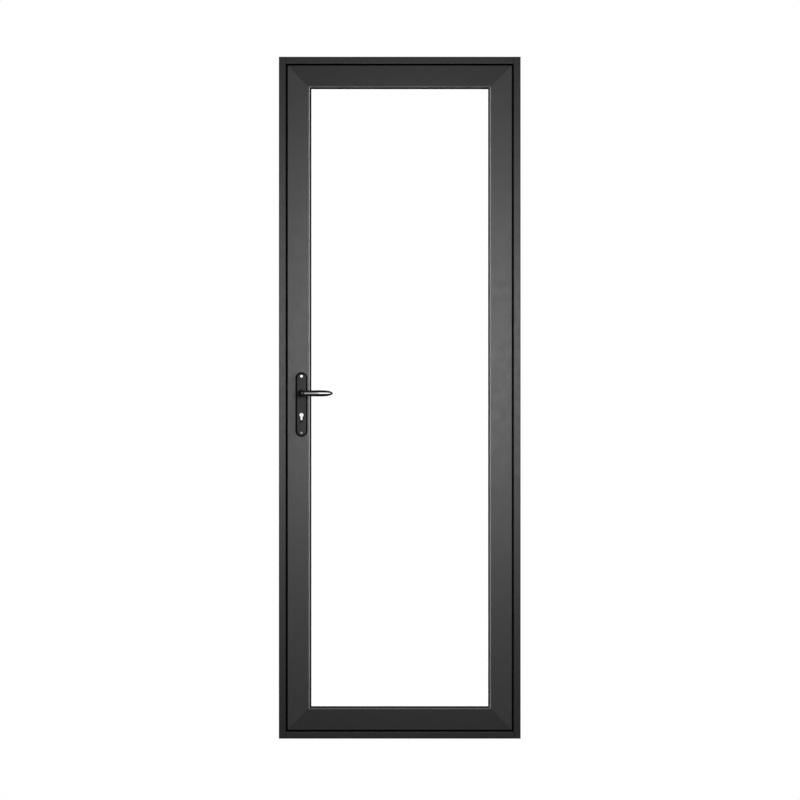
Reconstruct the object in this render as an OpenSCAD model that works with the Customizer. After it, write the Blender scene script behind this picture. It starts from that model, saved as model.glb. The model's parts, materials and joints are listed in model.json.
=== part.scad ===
// Single glazed door: a thermally broken metal frame with one leaf, its double glazing,
// barrel hinges on the rear face, a lever handle set, and a latch and dead bolt lock.
// X runs from the lock side to the hinge side, Y from the front face to the rear, Z up.
// The origin lies under the middle of the sill. In a profile, u is measured inwards from
// the piece's outer edge and v is Y.

/* [Frame] */
// Overall width of the frame
frame_w = 780; // [620:10:1200]
// Overall height of the frame
frame_h = 2200; // [1900:10:2600]
// Depth of the frame from front face to rear face
frame_d = 60; // [56:1:80]
// Width of a frame profile seen from the front
frame_face = 22.5; // [22:0.5:60]
// Radius on the front edges of the frame
frame_edge_r = 2; // [0.5:0.5:3]
// Clearance between frame and leaf, all round
leaf_gap = 5; // [4.5:0.5:8]

/* [Profiles] */
// Wall of the hollow shells
wall = 2; // [1.5:0.1:3]
// Depth of the front shells
shell_d = 20; // [18:1:24]
// Web that holds the insulating strips
web_t = 4; // [3.5:0.5:6]
// Thickness of the insulating strips
strip_t = 3; // [2:0.5:3.5]
// How far a strip's edge sits in each shell
strip_foot = 2; // [1:0.5:2.5]
// Assembly clearance of pieces that slip inside a profile
slip = 0.2; // [0.1:0.05:0.4]

/* [Leaf] */
// Flat width of a leaf profile seen from the front
leaf_face = 67; // [62:1:120]
// Rounded inner edge of the leaf profile, and the depth of its glazing leg
leaf_arris = 6; // [4:0.5:8]
// Radius on the leaf's outer edges
leaf_edge_r = 2; // [0.5:0.5:3]
// Width of the leaf's hollow tube
leaf_tube = 60; // [58:1:110]
// How far the leaf's rear flange laps over the frame
flange_lap = 8; // [6:0.5:9]
// Thickness of the rear flange
flange_t = 6; // [4:0.5:8]

/* [Glazing] */
// Thickness of each pane
pane_t = 6; // [4:1:8]
// How much deeper the frame is than the cavity between the panes
cavity_less = 44; // [42:1:48]
// Depth of glass held behind the glazing leg and gasket
glass_cover = 12.5; // [10:0.5:16]
// Thickness of a glazing gasket between pane and metal
pane_gasket = 4; // [3:0.5:5]
// Strip of gasket seen beside the leaf profile
gasket_sight = 3.5; // [2:0.5:5]
// Height of the spacer bar between the panes
spacer_h = 6.5; // [5:0.5:8]
// Bevel on the rear edge of a glazing bead
bead_bevel = 5; // [2:1:8]
// Length of a setting block under or beside the glass
packer_l = 100; // [60:10:150]

/* [Seals] */
// Depth of the gasket between the frame's rear face and the leaf's flange
rebate_seal_d = 4; // [3:0.5:6]
// Width of the gasket that closes on the frame's rear face
rebate_seal_w = 5; // [3:0.5:6]
// How far the centre seal stands into the gap
centre_seal_out = 3.5; // [2:0.25:3.75]
// Depth of the centre seal
centre_seal_d = 4; // [3:0.5:6]

/* [Handle] */
// Height of the lever's axis above the sill's underside
handle_z = 1114; // [900:1:1300]
// Distance from the leaf's edge to the lever's axis
backset = 45.5; // [45:0.5:60]
// Width of the handle plate
plate_w = 40; // [34:1:50]
// Height of the handle plate
plate_h = 210; // [206:1:260]
// Thickness of the handle plate
plate_t = 9; // [7:0.5:12]
// Bevel round the plate's face
plate_bevel = 2.5; // [1:0.5:4]
// Distance from the lever's axis down to the plate's middle
plate_drop = 36; // [30:1:45]
// Distance between the plate's two screws
plate_screw_pitch = 182.5; // [175:0.5:190]
// Radius of the plate screws
plate_screw_r = 2.5; // [2:0.25:3]
// Radius of the plate screws' heads
plate_screw_head_r = 4.6; // [4:0.1:6]
// Length of the lever from its axis to its tip
lever_l = 101; // [80:1:140]
// Greatest height of the lever's grip
lever_h = 18.8; // [14:0.2:24]
// Thickness of the lever's grip, front to back
lever_t = 13; // [10:0.5:18]
// Radius of the lever's neck
neck_r = 10.8; // [9:0.1:14]
// Distance from the plate to the middle of the grip
lever_out = 38; // [30:1:55]
// Width across the flats of the square spindle
spindle_w = 8; // [7:1:10]
// Radius of the lever's spigot in its bush
spigot_r = 8; // [7:0.25:8.5]
// Outer radius of the bush
bush_r = 10.5; // [9.5:0.25:12]
// Radial running clearance of turning pieces
run_fit = 0.05; // [0.02:0.01:0.1]
// Clearance between a lever and its plate
lever_gap = 0.5; // [0.3:0.1:1]
// How far the lever turns down, in degrees
lever_turn = 45; // [30:1:50]

/* [Lock] */
// Distance from the lever's axis down to the cylinder's axis
cylinder_drop = 70; // [68:1:72]
// Radius of the round part of the cylinder
cylinder_r = 8.5; // [8:0.5:9]
// Total height of the cylinder's profile
cylinder_h = 33; // [31:0.5:34]
// Width of the cylinder's lower part
cylinder_neck_w = 10; // [9:0.5:11]
// How far the cylinder stands out of the handle plates
cylinder_out = 1; // [0.5:0.5:3]
// Radius of the turning plug
plug_r = 6.5; // [6:0.25:7]
// Width of the cam between the two plugs
cam_w = 10; // [8:0.5:10]
// Reach of the cam's nose
cam_r = 12.5; // [11:0.25:12.5]
// Thickness of the lock case
case_t = 16; // [15:0.5:17]
// Sheet of the lock case
case_wall = 1.5; // [1:0.25:2]
// Width of the face plate and keep plate
face_plate_w = 24; // [22:1:24]
// Length of the face plate
face_plate_l = 190; // [186:1:240]
// Travel of the latch
latch_throw = 12; // [9:0.5:12]
// Thickness of the latch bolt
latch_t = 12; // [9:0.5:12]
// Height of the latch bolt
latch_h = 20; // [16:1:22]
// Travel of the dead bolt
bolt_throw = 20; // [14:0.5:20]
// Thickness of the dead bolt
bolt_t = 10; // [8:0.5:11]
// Height of the dead bolt
bolt_h = 30; // [24:1:32]
// Clearance round a bolt in the keep plate
keep_clear = 1; // [0.5:0.25:1.5]
// Radius of the lock's small screws
lock_screw_r = 2.5; // [2:0.25:3]

/* [Hinges] */
// Number of hinges
hinge_count = 3; // [2:1:4]
// Height of a hinge's barrel
hinge_h = 100; // [80:5:140]
// Radius of the barrel
barrel_r = 8.5; // [7:0.5:9.5]
// Radius of the hinge pin
pin_r = 4; // [3:0.5:5]
// Distance from the leaf's rear face to the hinge axis
hinge_off = 10; // [9:0.5:12]
// Distance from the frame's end to the outermost hinges' middle
hinge_inset = 220; // [150:10:300]
// Width of the wing screwed to the leaf
leaf_wing_w = 36; // [30:1:50]
// Thickness of both wings
wing_t = 6; // [5:0.5:8]
// How far the frame wing runs past the barrel, at each end
wing_over = 15; // [12:1:25]
// Gap between knuckles
knuckle_gap = 0.5; // [0.3:0.1:1]
// Radius of the hinge screws
hinge_screw_r = 2.4; // [2:0.1:3]

/* [Fixings] */
// Holes in each jamb that fix the frame to a wall
fix_count = 4; // [2:1:6]
// Distance from the frame's end to the outermost fixing hole
fix_inset = 200; // [100:10:300]
// Radius of the fixing holes
fix_r = 3.5; // [2.5:0.25:4]
// Length of the blocks and cleats in the corners
corner_l = 40; // [25:1:60]
// Radius of the corner screws
corner_screw_r = 2.5; // [2:0.25:3]

/* [Hidden] */
$fn = 48;

coat = [0.17, 0.17, 0.18];
black = [0.05, 0.05, 0.055];
rubber = [0.03, 0.03, 0.03];
plastic = [0.1, 0.1, 0.1];
steel = [0.7, 0.71, 0.73];
clear = [0.75, 0.85, 0.85, 0.35];

// Planes along Y
leaf_d = frame_d + rebate_seal_d + flange_t;
front_v = -frame_d / 2;
rear_v = frame_d / 2;
break_d = frame_d - 2 * shell_d;
break_v = break_d / 2;
leaf_rear_v = front_v + leaf_d;
leaf_shell_d = leaf_rear_v - break_v;

// Leaf and glass sizes
leaf_w = frame_w - 2 * (frame_face + leaf_gap);
leaf_h = frame_h - 2 * (frame_face + leaf_gap);
leaf_z = frame_face + leaf_gap;
leaf_lap = leaf_gap + flange_lap;
leg_u = leaf_face + leaf_arris;
sight_u = leg_u + gasket_sight;
glass_u = sight_u - glass_cover;
pane_v = front_v + leaf_arris + pane_gasket;
cavity = frame_d - cavity_less;
unit_d = 2 * pane_t + cavity;
bead_v = pane_v + unit_d + pane_gasket;
bead_h = sight_u - leaf_tube - 2;
bead_d = leaf_rear_v - bead_v;

// Lock positions, from the leaf's lock edge and the lever's axis
lock_x = -leaf_w / 2;
axis_x = lock_x + backset;
cylinder_z = handle_z - cylinder_drop;
plate_z = handle_z - plate_drop;
face_plate_t = strip_t;
arm_r = 16;
arm_tip_r = 2;
arm_lean = 35;
hub_r = 9;
hub_t = case_t - 2 * case_wall - 1;
hub_spigot_r = 7;
latch_z = handle_z + 22;
latch_body_l = 18;
latch_tail_t = 4;
tail_low = arm_r + arm_tip_r + 2;
tail_h = latch_h / 2 - 2;
lug_gap = 0.4;
lug_t = 3;
lug_low = arm_r - 1.5;
lug_u = backset - arm_r * sin(arm_lean) + arm_tip_r + lug_gap;
bolt_z = cylinder_z + 30;
bolt_l = 47;
case_u = face_plate_t;
case_back_u = backset + cam_r + case_wall;
case_low = cylinder_z - 44;
case_high = latch_z + latch_h / 2 + 17;
case_end = 13;
case_divider = (handle_z - hub_r + bolt_z + bolt_h / 2) / 2;
divider_t = 8;
cylinder_screw_drop = 18.5;
face_plate_mid = (case_low + case_high) / 2;
cylinder_front = front_v - plate_t - cylinder_out;
cylinder_rear = leaf_rear_v + plate_t + cylinder_out;

// Hinge positions
hinge_x = leaf_w / 2 + leaf_lap;
hinge_y = leaf_rear_v + hinge_off;
hinge_step = (frame_h - 2 * hinge_inset) / (hinge_count - 1);
knuckle_h = (hinge_h - 2 * knuckle_gap) / 3;
wing_x = hinge_x + 1.5;
frame_edge_x = frame_w / 2;
barrel_cut = barrel_r + 0.6;
fix_step = (frame_h - 2 * fix_inset) / (fix_count - 1);
fix_v = (break_v + web_t + rear_v - wall) / 2;
chamber_front_v = (front_v + wall - break_v - web_t) / 2;

// ---- helpers ----

// Points along an arc
function arc(cx, cy, r, a0, a1, steps = 6) =
  [for (i = [0 : steps]) let (a = a0 + (a1 - a0) * i / steps) [cx + r * cos(a), cy + r * sin(a)]];

// Inner edge of a shell: the two rebates that hold the insulating strips
function strip_edge(w, d) = [[w, d - strip_foot], [w - strip_t, d - strip_foot],
  [w - strip_t, d], [strip_t, d], [strip_t, d - strip_foot], [0, d - strip_foot]];

// Places a bar drawn for the lock side on any side of a w by h rectangle
module on_side(side, w, h, z) {
  if (side == "lock") translate([-w / 2, 0, z]) children();
  if (side == "hinge") translate([w / 2, 0, z]) mirror([1, 0, 0]) children();
  if (side == "bottom") translate([-w / 2, 0, z]) mirror([1, 0, -1]) children();
  if (side == "top") translate([-w / 2, 0, z + h]) mirror([0, 0, 1]) mirror([1, 0, -1]) children();
}

// A square-cut bar of a profile, between two heights
module bar(from, to) translate([0, 0, from]) linear_extrude(to - from) children();

// A bar of a profile cut at 45 degrees at both ends
module mitred(l, u_low, u_high) {
  reach = max(-u_low, 1);
  intersection() {
    bar(-reach, l + reach) children();
    along_y(front_v - 1, leaf_rear_v + 1)
      polygon([[u_low, u_low], [u_high, u_high], [u_high, l - u_high], [u_low, l - u_low]]);
  }
}

// Extrudes an outline drawn in X and Z along Y
module along_y(v0, v1) translate([0, v1, 0]) rotate([90, 0, 0]) linear_extrude(v1 - v0) children();

module cyl_y(r, v0, v1) translate([0, v1, 0]) rotate([90, 0, 0]) cylinder(r = r, h = v1 - v0);

module cyl_x(r, x0, x1) translate([x0, 0, 0]) rotate([0, 90, 0]) cylinder(r = r, h = x1 - x0);

// A rectangular ring round the leaf between two insets and two depths
module leaf_ring(u0, u1, v0, v1) {
  difference() {
    translate([-leaf_w / 2 + u0, v0, leaf_z + u0])
      cube([leaf_w - 2 * u0, v1 - v0, leaf_h - 2 * u0]);
    translate([-leaf_w / 2 + u1, v0 - 1, leaf_z + u1])
      cube([leaf_w - 2 * u1, v1 - v0 + 2, leaf_h - 2 * u1]);
  }
}

// Countersunk screw standing along +Z with its head's face at z = 0; extra widens it as a hole
module screw(r, head_r, l, extra = 0) {
  translate([0, 0, -l]) cylinder(r = r + extra, h = l);
  translate([0, 0, r - head_r]) cylinder(r1 = r + extra, r2 = head_r + extra, h = head_r - r);
}

module socket_screw(r, head_r, l) {
  difference() {
    screw(r, head_r, l);
    translate([0, 0, -head_r * 0.45]) cylinder(r = head_r * 0.5, h = head_r, $fn = 6);
  }
}

module stadium(w, h) {
  square([w, h - w], center = true);
  for (s = [-1, 1]) translate([0, s * (h - w) / 2]) circle(r = w / 2);
}

// Outline of the lock cylinder with its round part at the origin
module cylinder_outline(extra = 0) {
  low = cylinder_h - cylinder_r - cylinder_neck_w / 2;
  circle(r = cylinder_r + extra);
  translate([-cylinder_neck_w / 2 - extra, -low]) square([cylinder_neck_w + 2 * extra, low]);
  translate([0, -low]) circle(r = cylinder_neck_w / 2 + extra);
}

// ---- profiles, with v = 0 at the shell's visible face ----

module frame_shell() {
  r = frame_edge_r;
  difference() {
    polygon(concat(arc(r, r, r, 180, 270), arc(frame_face - r, r, r, 270, 360),
      strip_edge(frame_face, shell_d)));
    translate([wall, wall]) square([frame_face - 2 * wall, shell_d - wall - web_t]);
  }
}

module leaf_front_shell() {
  r = leaf_edge_r;
  difference() {
    polygon(concat(arc(r, r, r, 180, 270), arc(leaf_face, leaf_arris, leaf_arris, 270, 360),
      [[leaf_tube, leaf_arris]], strip_edge(leaf_tube, shell_d)));
    translate([wall, wall]) square([leaf_tube - 2 * wall, shell_d - wall - web_t]);
  }
}

module leaf_rear_shell() {
  r = leaf_edge_r;
  difference() {
    polygon(concat(arc(r - leaf_lap, r, r, 180, 270), [[leaf_tube, 0]],
      strip_edge(leaf_tube, leaf_shell_d), [[0, flange_t], [-leaf_lap, flange_t]]));
    translate([wall, wall]) square([leaf_tube - 2 * wall, leaf_shell_d - wall - web_t]);
  }
}

module bead_profile() {
  difference() {
    bead_outline();
    offset(delta = -wall * 0.8) bead_outline();
  }
}

module bead_outline() polygon([[0, 0], [bead_h - bead_bevel, 0], [bead_h, bead_bevel],
  [bead_h, bead_d], [0, bead_d]]);

module at_front() translate([0, front_v]) children();
module at_frame_rear() translate([0, rear_v]) mirror([0, 1]) children();
module at_leaf_rear() translate([0, leaf_rear_v]) mirror([0, 1]) children();

// ---- frame ----

module frame_side(side, from, to) on_side(side, frame_w, frame_h, 0) bar(from, to) children();

module corner_screws_at(extra = 0) {
  for (s = [-1, 1], z = [frame_face / 2, frame_h - frame_face / 2])
    for (v = [chamber_front_v, fix_v])
      translate([s * frame_w / 2, v, z]) rotate([0, s * 90, 0])
        screw(corner_screw_r, corner_screw_r * 1.7, frame_face + corner_l * 0.6, extra);
}

module jamb(side) {
  color(coat) difference() {
    frame_side(side, 0, frame_h) children();
    corner_screws_at(slip);
    for (i = [0 : fix_count - 1], s = [-1, 1])
      translate([0, fix_v, fix_inset + i * fix_step])
        cyl_x(fix_r, s > 0 ? frame_w / 2 - frame_face - 1 : -frame_w / 2 - 1,
          s > 0 ? frame_w / 2 + 1 : -frame_w / 2 + frame_face + 1);
    hinge_frame_screws_at(slip);
  }
}

module cross_bar(side) color(coat)
  frame_side(side, frame_face, frame_w - frame_face) children();

module frame_jamb_lock_front() jamb("lock") at_front() frame_shell();
module frame_jamb_lock_rear() jamb("lock") at_frame_rear() frame_shell();
module frame_jamb_hinge_front() jamb("hinge") at_front() frame_shell();
module frame_jamb_hinge_rear() jamb("hinge") at_frame_rear() frame_shell();
module frame_head_front() cross_bar("top") at_front() frame_shell();
module frame_head_rear() cross_bar("top") at_frame_rear() frame_shell();
module frame_sill_front() cross_bar("bottom") at_front() frame_shell();
module frame_sill_rear() cross_bar("bottom") at_frame_rear() frame_shell();

module strip(u) translate([u, -break_v - strip_foot])
  square([strip_t, break_d + 2 * strip_foot]);

module frame_strips() color(plastic) {
  difference() {
    for (side = ["lock", "hinge"], u = [0, frame_face - strip_t])
      frame_side(side, 0, frame_h) strip(u);
    face_plate_zone(-frame_w / 2 + frame_face - strip_t);
  }
  for (side = ["top", "bottom"], u = [0, frame_face - strip_t])
    frame_side(side, frame_face + slip, frame_w - frame_face - slip) strip(u);
}

module frame_corner_blocks() color("silver") difference() {
  for (side = ["top", "bottom"], end = [frame_face, frame_w - frame_face - corner_l])
    for (v = [front_v + wall, break_v + web_t])
      frame_side(side, end, end + corner_l) translate([wall + slip, v + slip])
        square([frame_face - 2 * (wall + slip), shell_d - wall - web_t - 2 * slip]);
  corner_screws_at();
}

module frame_corner_screws() color(steel) corner_screws_at();

// ---- keep on the lock jamb ----

module face_plate_zone(x) translate([x, -face_plate_w / 2, face_plate_mid - face_plate_l / 2])
  cube([strip_t, face_plate_w, face_plate_l]);

module bolt_slots(x0, x1, extra) {
  for (b = [[latch_z, latch_t, latch_h], [bolt_z, bolt_t, bolt_h]])
    translate([x0, -b[1] / 2 - extra, b[0] - b[2] / 2 - extra])
      cube([x1 - x0, b[1] + 2 * extra, b[2] + 2 * extra]);
}

// Screws at both ends of the face plate or keep plate; the head faces the gap
module end_screws_at(x, turn, l, extra = 0) {
  for (z = [case_low + case_end / 2, case_high - case_end / 2])
    translate([x, 0, z]) rotate([0, turn, 0])
      screw(lock_screw_r, lock_screw_r * 1.8, l, extra);
}

keep_x = -frame_w / 2 + frame_face;
housing_x = -frame_w / 2 + strip_t + 1;

module keep_plate() color(steel) difference() {
  face_plate_zone(keep_x - strip_t);
  bolt_slots(keep_x - strip_t - 1, keep_x + 1, keep_clear);
  end_screws_at(keep_x, 90, 10, slip);
}

module keep_housing() color(plastic) difference() {
  translate([housing_x, slip - break_v, case_low])
    cube([keep_x - strip_t - housing_x, break_d - 2 * slip, case_high - case_low]);
  bolt_slots(housing_x + 0.5, keep_x, keep_clear);
  end_screws_at(keep_x, 90, 10);
}

module keep_screws() color(steel) end_screws_at(keep_x, 90, 10);

// ---- hinges ----

function hinge_z(i) = hinge_inset + i * hinge_step;

module at_hinge(i) translate([hinge_x, hinge_y, hinge_z(i)]) children();

module hinge_frame_screws_at(extra = 0) {
  for (i = [0 : hinge_count - 1], s = [-1, 1])
    translate([(wing_x + frame_edge_x) / 2, rear_v + wing_t,
        hinge_z(i) + s * (hinge_h + wing_over) / 2])
      rotate([-90, 0, 0]) screw(hinge_screw_r, hinge_screw_r * 1.8, wing_t + 3 * wall, extra);
}

module hinge_leaf_screws_at(extra = 0) {
  for (i = [0 : hinge_count - 1], s = [-1, 1], dx = [0.45, 0.8])
    translate([hinge_x - leaf_wing_w * dx - 4, leaf_rear_v + wing_t, hinge_z(i) + s * hinge_h * 0.36])
      rotate([-90, 0, 0]) screw(hinge_screw_r, hinge_screw_r * 1.8, wing_t + 3 * wall, extra);
}

// Frame wing with the upper and lower knuckles
module hinge_frame_half(i) color(coat) difference() {
  union() {
    translate([wing_x, rear_v, hinge_z(i) - hinge_h / 2 - wing_over])
      cube([frame_edge_x - wing_x, wing_t, hinge_h + 2 * wing_over]);
    at_hinge(i) for (s = [-1, 1]) translate([0, 0, s * (hinge_h - knuckle_h) / 2]) {
      cylinder(r = barrel_r, h = knuckle_h, center = true);
      translate([wing_x - hinge_x + 1, rear_v - hinge_y, -knuckle_h / 2])
        cube([barrel_r - 2.5, hinge_y - rear_v, knuckle_h]);
    }
  }
  at_hinge(i) cylinder(r = pin_r, h = hinge_h + 2, center = true);
  hinge_frame_screws_at(slip);
}

// Leaf wing with the middle knuckle
module hinge_leaf_half(i) color(coat) difference() {
  union() {
    at_hinge(i) difference() {
      translate([-leaf_wing_w - 4, -hinge_off, -hinge_h / 2])
        cube([leaf_wing_w, wing_t, hinge_h]);
      for (s = [-1, 1]) translate([0, 0, s * (hinge_h - knuckle_h) / 2])
        cylinder(r = barrel_cut, h = knuckle_h + 2 * knuckle_gap, center = true);
    }
    at_hinge(i) cylinder(r = barrel_r, h = knuckle_h, center = true);
  }
  at_hinge(i) cylinder(r = pin_r + run_fit, h = hinge_h + 2, center = true);
  hinge_leaf_screws_at(slip);
}

module hinge_frame_half_1() hinge_frame_half(0);
module hinge_frame_half_2() hinge_frame_half(1);
module hinge_frame_half_3() hinge_frame_half(2);
module hinge_leaf_half_1() hinge_leaf_half(0);
module hinge_leaf_half_2() hinge_leaf_half(1);
module hinge_leaf_half_3() hinge_leaf_half(2);

module hinge_pins() color(steel) for (i = [0 : hinge_count - 1])
  at_hinge(i) cylinder(r = pin_r, h = hinge_h, center = true);

module hinge_frame_screws() color(steel) hinge_frame_screws_at();
module hinge_leaf_screws() color(steel) hinge_leaf_screws_at();

// ---- leaf ----

module leaf_side(side) on_side(side, leaf_w, leaf_h, leaf_z) children();

module leaf_front_bar(side) leaf_side(side)
  mitred(side == "lock" || side == "hinge" ? leaf_h : leaf_w, 0, leg_u)
    at_front() leaf_front_shell();

module leaf_rear_bar(side) leaf_side(side)
  mitred(side == "lock" || side == "hinge" ? leaf_h : leaf_w, -leaf_lap, leaf_tube)
    at_leaf_rear() leaf_rear_shell();

// Everything that the handle set needs cut through the lock stile
module handle_holes() {
  v0 = front_v - 1;
  v1 = leaf_rear_v + 1;
  translate([axis_x, 0, handle_z]) cyl_y(bush_r + 0.5, v0, v1);
  translate([axis_x, 0, cylinder_z]) along_y(v0, v1) cylinder_outline(1);
  for (s = [-1, 1]) translate([axis_x, 0, plate_z + s * plate_screw_pitch / 2])
    cyl_y(plate_screw_r + 2, v0, v1);
}

module leaf_stile_lock_front() color(coat) difference() {
  leaf_front_bar("lock");
  handle_holes();
}
module leaf_stile_lock_rear() color(coat) difference() {
  leaf_rear_bar("lock");
  handle_holes();
}
module leaf_stile_hinge_front() color(coat) leaf_front_bar("hinge");
module leaf_stile_hinge_rear() color(coat) difference() {
  leaf_rear_bar("hinge");
  hinge_leaf_screws_at(slip);
}
module leaf_rail_top_front() color(coat) leaf_front_bar("top");
module leaf_rail_top_rear() color(coat) leaf_rear_bar("top");
module leaf_rail_bottom_front() color(coat) leaf_front_bar("bottom");
module leaf_rail_bottom_rear() color(coat) leaf_rear_bar("bottom");

module leaf_strips() color(plastic) {
  inner = leaf_tube - strip_t;
  difference() {
    for (side = ["lock", "hinge"]) {
      leaf_side(side) bar(0, leaf_h) strip(0);
      leaf_side(side) bar(inner, leaf_h - inner) strip(inner);
    }
    face_plate_zone(lock_x);
    translate([lock_x + inner - 1, -frame_d / 2, case_low - 1])
      cube([strip_t + 2, frame_d, case_high - case_low + 2]);
  }
  for (side = ["top", "bottom"]) {
    leaf_side(side) bar(strip_t + slip, leaf_w - strip_t - slip) strip(0);
    leaf_side(side) bar(leaf_tube + slip, leaf_w - leaf_tube - slip) strip(inner);
  }
}

// Angle pieces that slip into the mitred corners
module leaf_corner_cleats() color("silver") {
  low = wall + slip;
  high = leaf_tube - wall - slip;
  arm = leaf_tube + corner_l;
  for (side = ["lock", "hinge"], flip = [0, 1])
    for (d = [[front_v + wall, shell_d - wall - web_t], [break_v + web_t, leaf_shell_d - wall - web_t]])
      translate([0, 0, flip * frame_h]) mirror([0, 0, flip]) leaf_side(side)
        along_y(d[0] + slip, d[0] + d[1] - slip)
          polygon([[low, low], [arm, low], [arm, high], [high, high], [high, arm], [low, arm]]);
}

// ---- glazing ----

module pane(v) color(clear) translate([-leaf_w / 2 + glass_u, v, leaf_z + glass_u])
  cube([leaf_w - 2 * glass_u, pane_t, leaf_h - 2 * glass_u]);

module pane_front() pane(pane_v);
module pane_rear() pane(pane_v + pane_t + cavity);

module glass_sealant() color(rubber)
  leaf_ring(glass_u, glass_u + 3, pane_v + pane_t, pane_v + pane_t + cavity);

module glass_spacer() color("silver")
  leaf_ring(glass_u + 3, glass_u + 3 + spacer_h, pane_v + pane_t, pane_v + pane_t + cavity);

module glazing_gasket_front() color(rubber) {
  leaf_ring(glass_u + 2, sight_u, pane_v - pane_gasket, pane_v);
  leaf_ring(leg_u, sight_u, pane_v - pane_gasket - 2, pane_v - pane_gasket);
}

module glazing_gasket_rear() color(rubber)
  leaf_ring(glass_u + 2, sight_u, bead_v - pane_gasket, bead_v);

module bead_side(side, from, to) on_side(side, leaf_w - 2 * leaf_tube,
  leaf_h - 2 * leaf_tube, leaf_z + leaf_tube) bar(from, to) at_leaf_rear() bead_profile();

module beads_horizontal() color(coat) for (side = ["top", "bottom"])
  bead_side(side, slip, leaf_w - 2 * leaf_tube - slip);

module beads_vertical() color(coat) for (side = ["lock", "hinge"])
  bead_side(side, bead_h + slip, leaf_h - 2 * leaf_tube - bead_h - slip);

module packer(side, from) leaf_side(side) translate([leaf_tube, pane_v, from])
  cube([glass_u - leaf_tube, unit_d, packer_l]);

module glazing_packers() color("royalblue") {
  inset = leaf_tube + 60;
  for (from = [inset, leaf_w - inset - packer_l]) packer("bottom", from);
  packer("hinge", inset);
  packer("hinge", leaf_h - inset - packer_l);
  packer("lock", inset);
  packer("lock", leaf_h - inset - packer_l);
}

// ---- seals ----

module rebate_gasket() color(rubber) {
  middle = leaf_gap + flange_lap / 2;
  leaf_ring(-middle - rebate_seal_w / 2, -middle + rebate_seal_w / 2, rear_v,
    leaf_rear_v - flange_t);
}

module centre_gasket() color(rubber)
  leaf_ring(-centre_seal_out, 0, break_v + web_t + 1, break_v + web_t + 1 + centre_seal_d);

// ---- lock ----

module lock_case() color(steel) {
  room_t = case_t - 2 * case_wall;
  room_u = case_back_u - case_u - 2 * case_wall;
  difference() {
    translate([lock_x + case_u, -case_t / 2, case_low])
      cube([case_back_u - case_u, case_t, case_high - case_low]);
    for (z = [[case_low + case_end, case_divider - divider_t / 2],
        [case_divider + divider_t / 2, case_high - case_end]])
      translate([lock_x + case_u + case_wall, -room_t / 2, z[0]])
        cube([room_u, room_t, z[1] - z[0]]);
    bolt_slots(lock_x, lock_x + case_u + case_wall + 1, 0.3);
    translate([axis_x, 0, handle_z]) cyl_y(hub_spigot_r + run_fit, -case_t, case_t);
    translate([axis_x, 0, cylinder_z]) along_y(-case_t, case_t) cylinder_outline(slip);
    end_screws_at(lock_x, -90, 12);
    cylinder_screw_at(slip);
  }
}

module cylinder_screw_at(extra = 0) translate([lock_x, 0, cylinder_z - cylinder_screw_drop])
  rotate([0, -90, 0]) screw(lock_screw_r, lock_screw_r * 1.8, backset, extra);

module lock_face_plate() color(steel) difference() {
  face_plate_zone(lock_x);
  bolt_slots(lock_x - 1, lock_x + face_plate_t + 1, 0.3);
  end_screws_at(lock_x, -90, 12, slip);
  cylinder_screw_at(slip);
}

module lock_screws() color(steel) {
  end_screws_at(lock_x, -90, 12);
  cylinder_screw_at();
}

module cylinder_body() color(steel) difference() {
  translate([axis_x, 0, cylinder_z]) along_y(cylinder_front, cylinder_rear) cylinder_outline();
  translate([axis_x, 0, cylinder_z]) cyl_y(plug_r + run_fit, cylinder_front - 1, cylinder_rear + 1);
  translate([axis_x - 20, -cam_w / 2 - 0.3, cylinder_z - cam_r - 0.5])
    cube([40, cam_w + 0.6, 40]);
  cylinder_screw_at();
}

// The two plugs, each with a keyway in its outer end
module cylinder_plugs() color(steel) translate([axis_x, 0, cylinder_z]) difference() {
  union() {
    cyl_y(plug_r, cylinder_front, -cam_w / 2);
    cyl_y(plug_r, cam_w / 2, cylinder_rear);
  }
  for (v = [cylinder_front - 1, cylinder_rear - 24]) translate([-1.1, v, -4.5])
    cube([2.2, 25, 8.5]);
}

module cylinder_cam() color(steel) translate([axis_x, 0, cylinder_z]) {
  cyl_y(plug_r + 1, -cam_w / 2, cam_w / 2);
  rotate([0, 150, 0]) translate([-3, -cam_w / 2, 0]) cube([6, cam_w, cam_r - 0.6]);
}

// Bevelled head, a tail over the follower and a lug that the follower's arm pushes
module latch_bolt() color(steel) {
  translate([lock_x, 0, latch_z - latch_h / 2]) linear_extrude(latch_h)
    polygon([[-latch_throw, latch_t / 2], [-latch_throw, latch_t / 4],
      [-2, -latch_t / 2], [latch_body_l, -latch_t / 2], [latch_body_l, latch_t / 2]]);
  translate([lock_x + latch_body_l, -latch_tail_t / 2, handle_z + tail_low])
    cube([lug_u + lug_t - latch_body_l, latch_tail_t, tail_h]);
  translate([lock_x + lug_u, -latch_tail_t / 2, handle_z + lug_low])
    cube([lug_t, latch_tail_t, tail_low + tail_h - lug_low]);
}

module dead_bolt() color(steel) translate([lock_x, -bolt_t / 2, bolt_z - bolt_h / 2])
  cube([bolt_l, bolt_t, bolt_h]);

// Hub on the square spindle, with the arm that draws the latch back
module follower() color(steel) translate([axis_x, 0, handle_z]) difference() {
  union() {
    cyl_y(hub_r, -hub_t / 2, hub_t / 2);
    cyl_y(hub_spigot_r, -case_t / 2, case_t / 2);
    rotate([0, -arm_lean, 0]) {
      translate([-arm_tip_r, -2, 0]) cube([2 * arm_tip_r, 4, arm_r]);
      translate([0, 0, arm_r]) cyl_y(arm_tip_r, -2, 2);
    }
  }
  translate([-spindle_w / 2, -case_t, -spindle_w / 2]) cube([spindle_w, 2 * case_t, spindle_w]);
}

// ---- handle set ----

grip_v = plate_t + lever_out;

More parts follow.
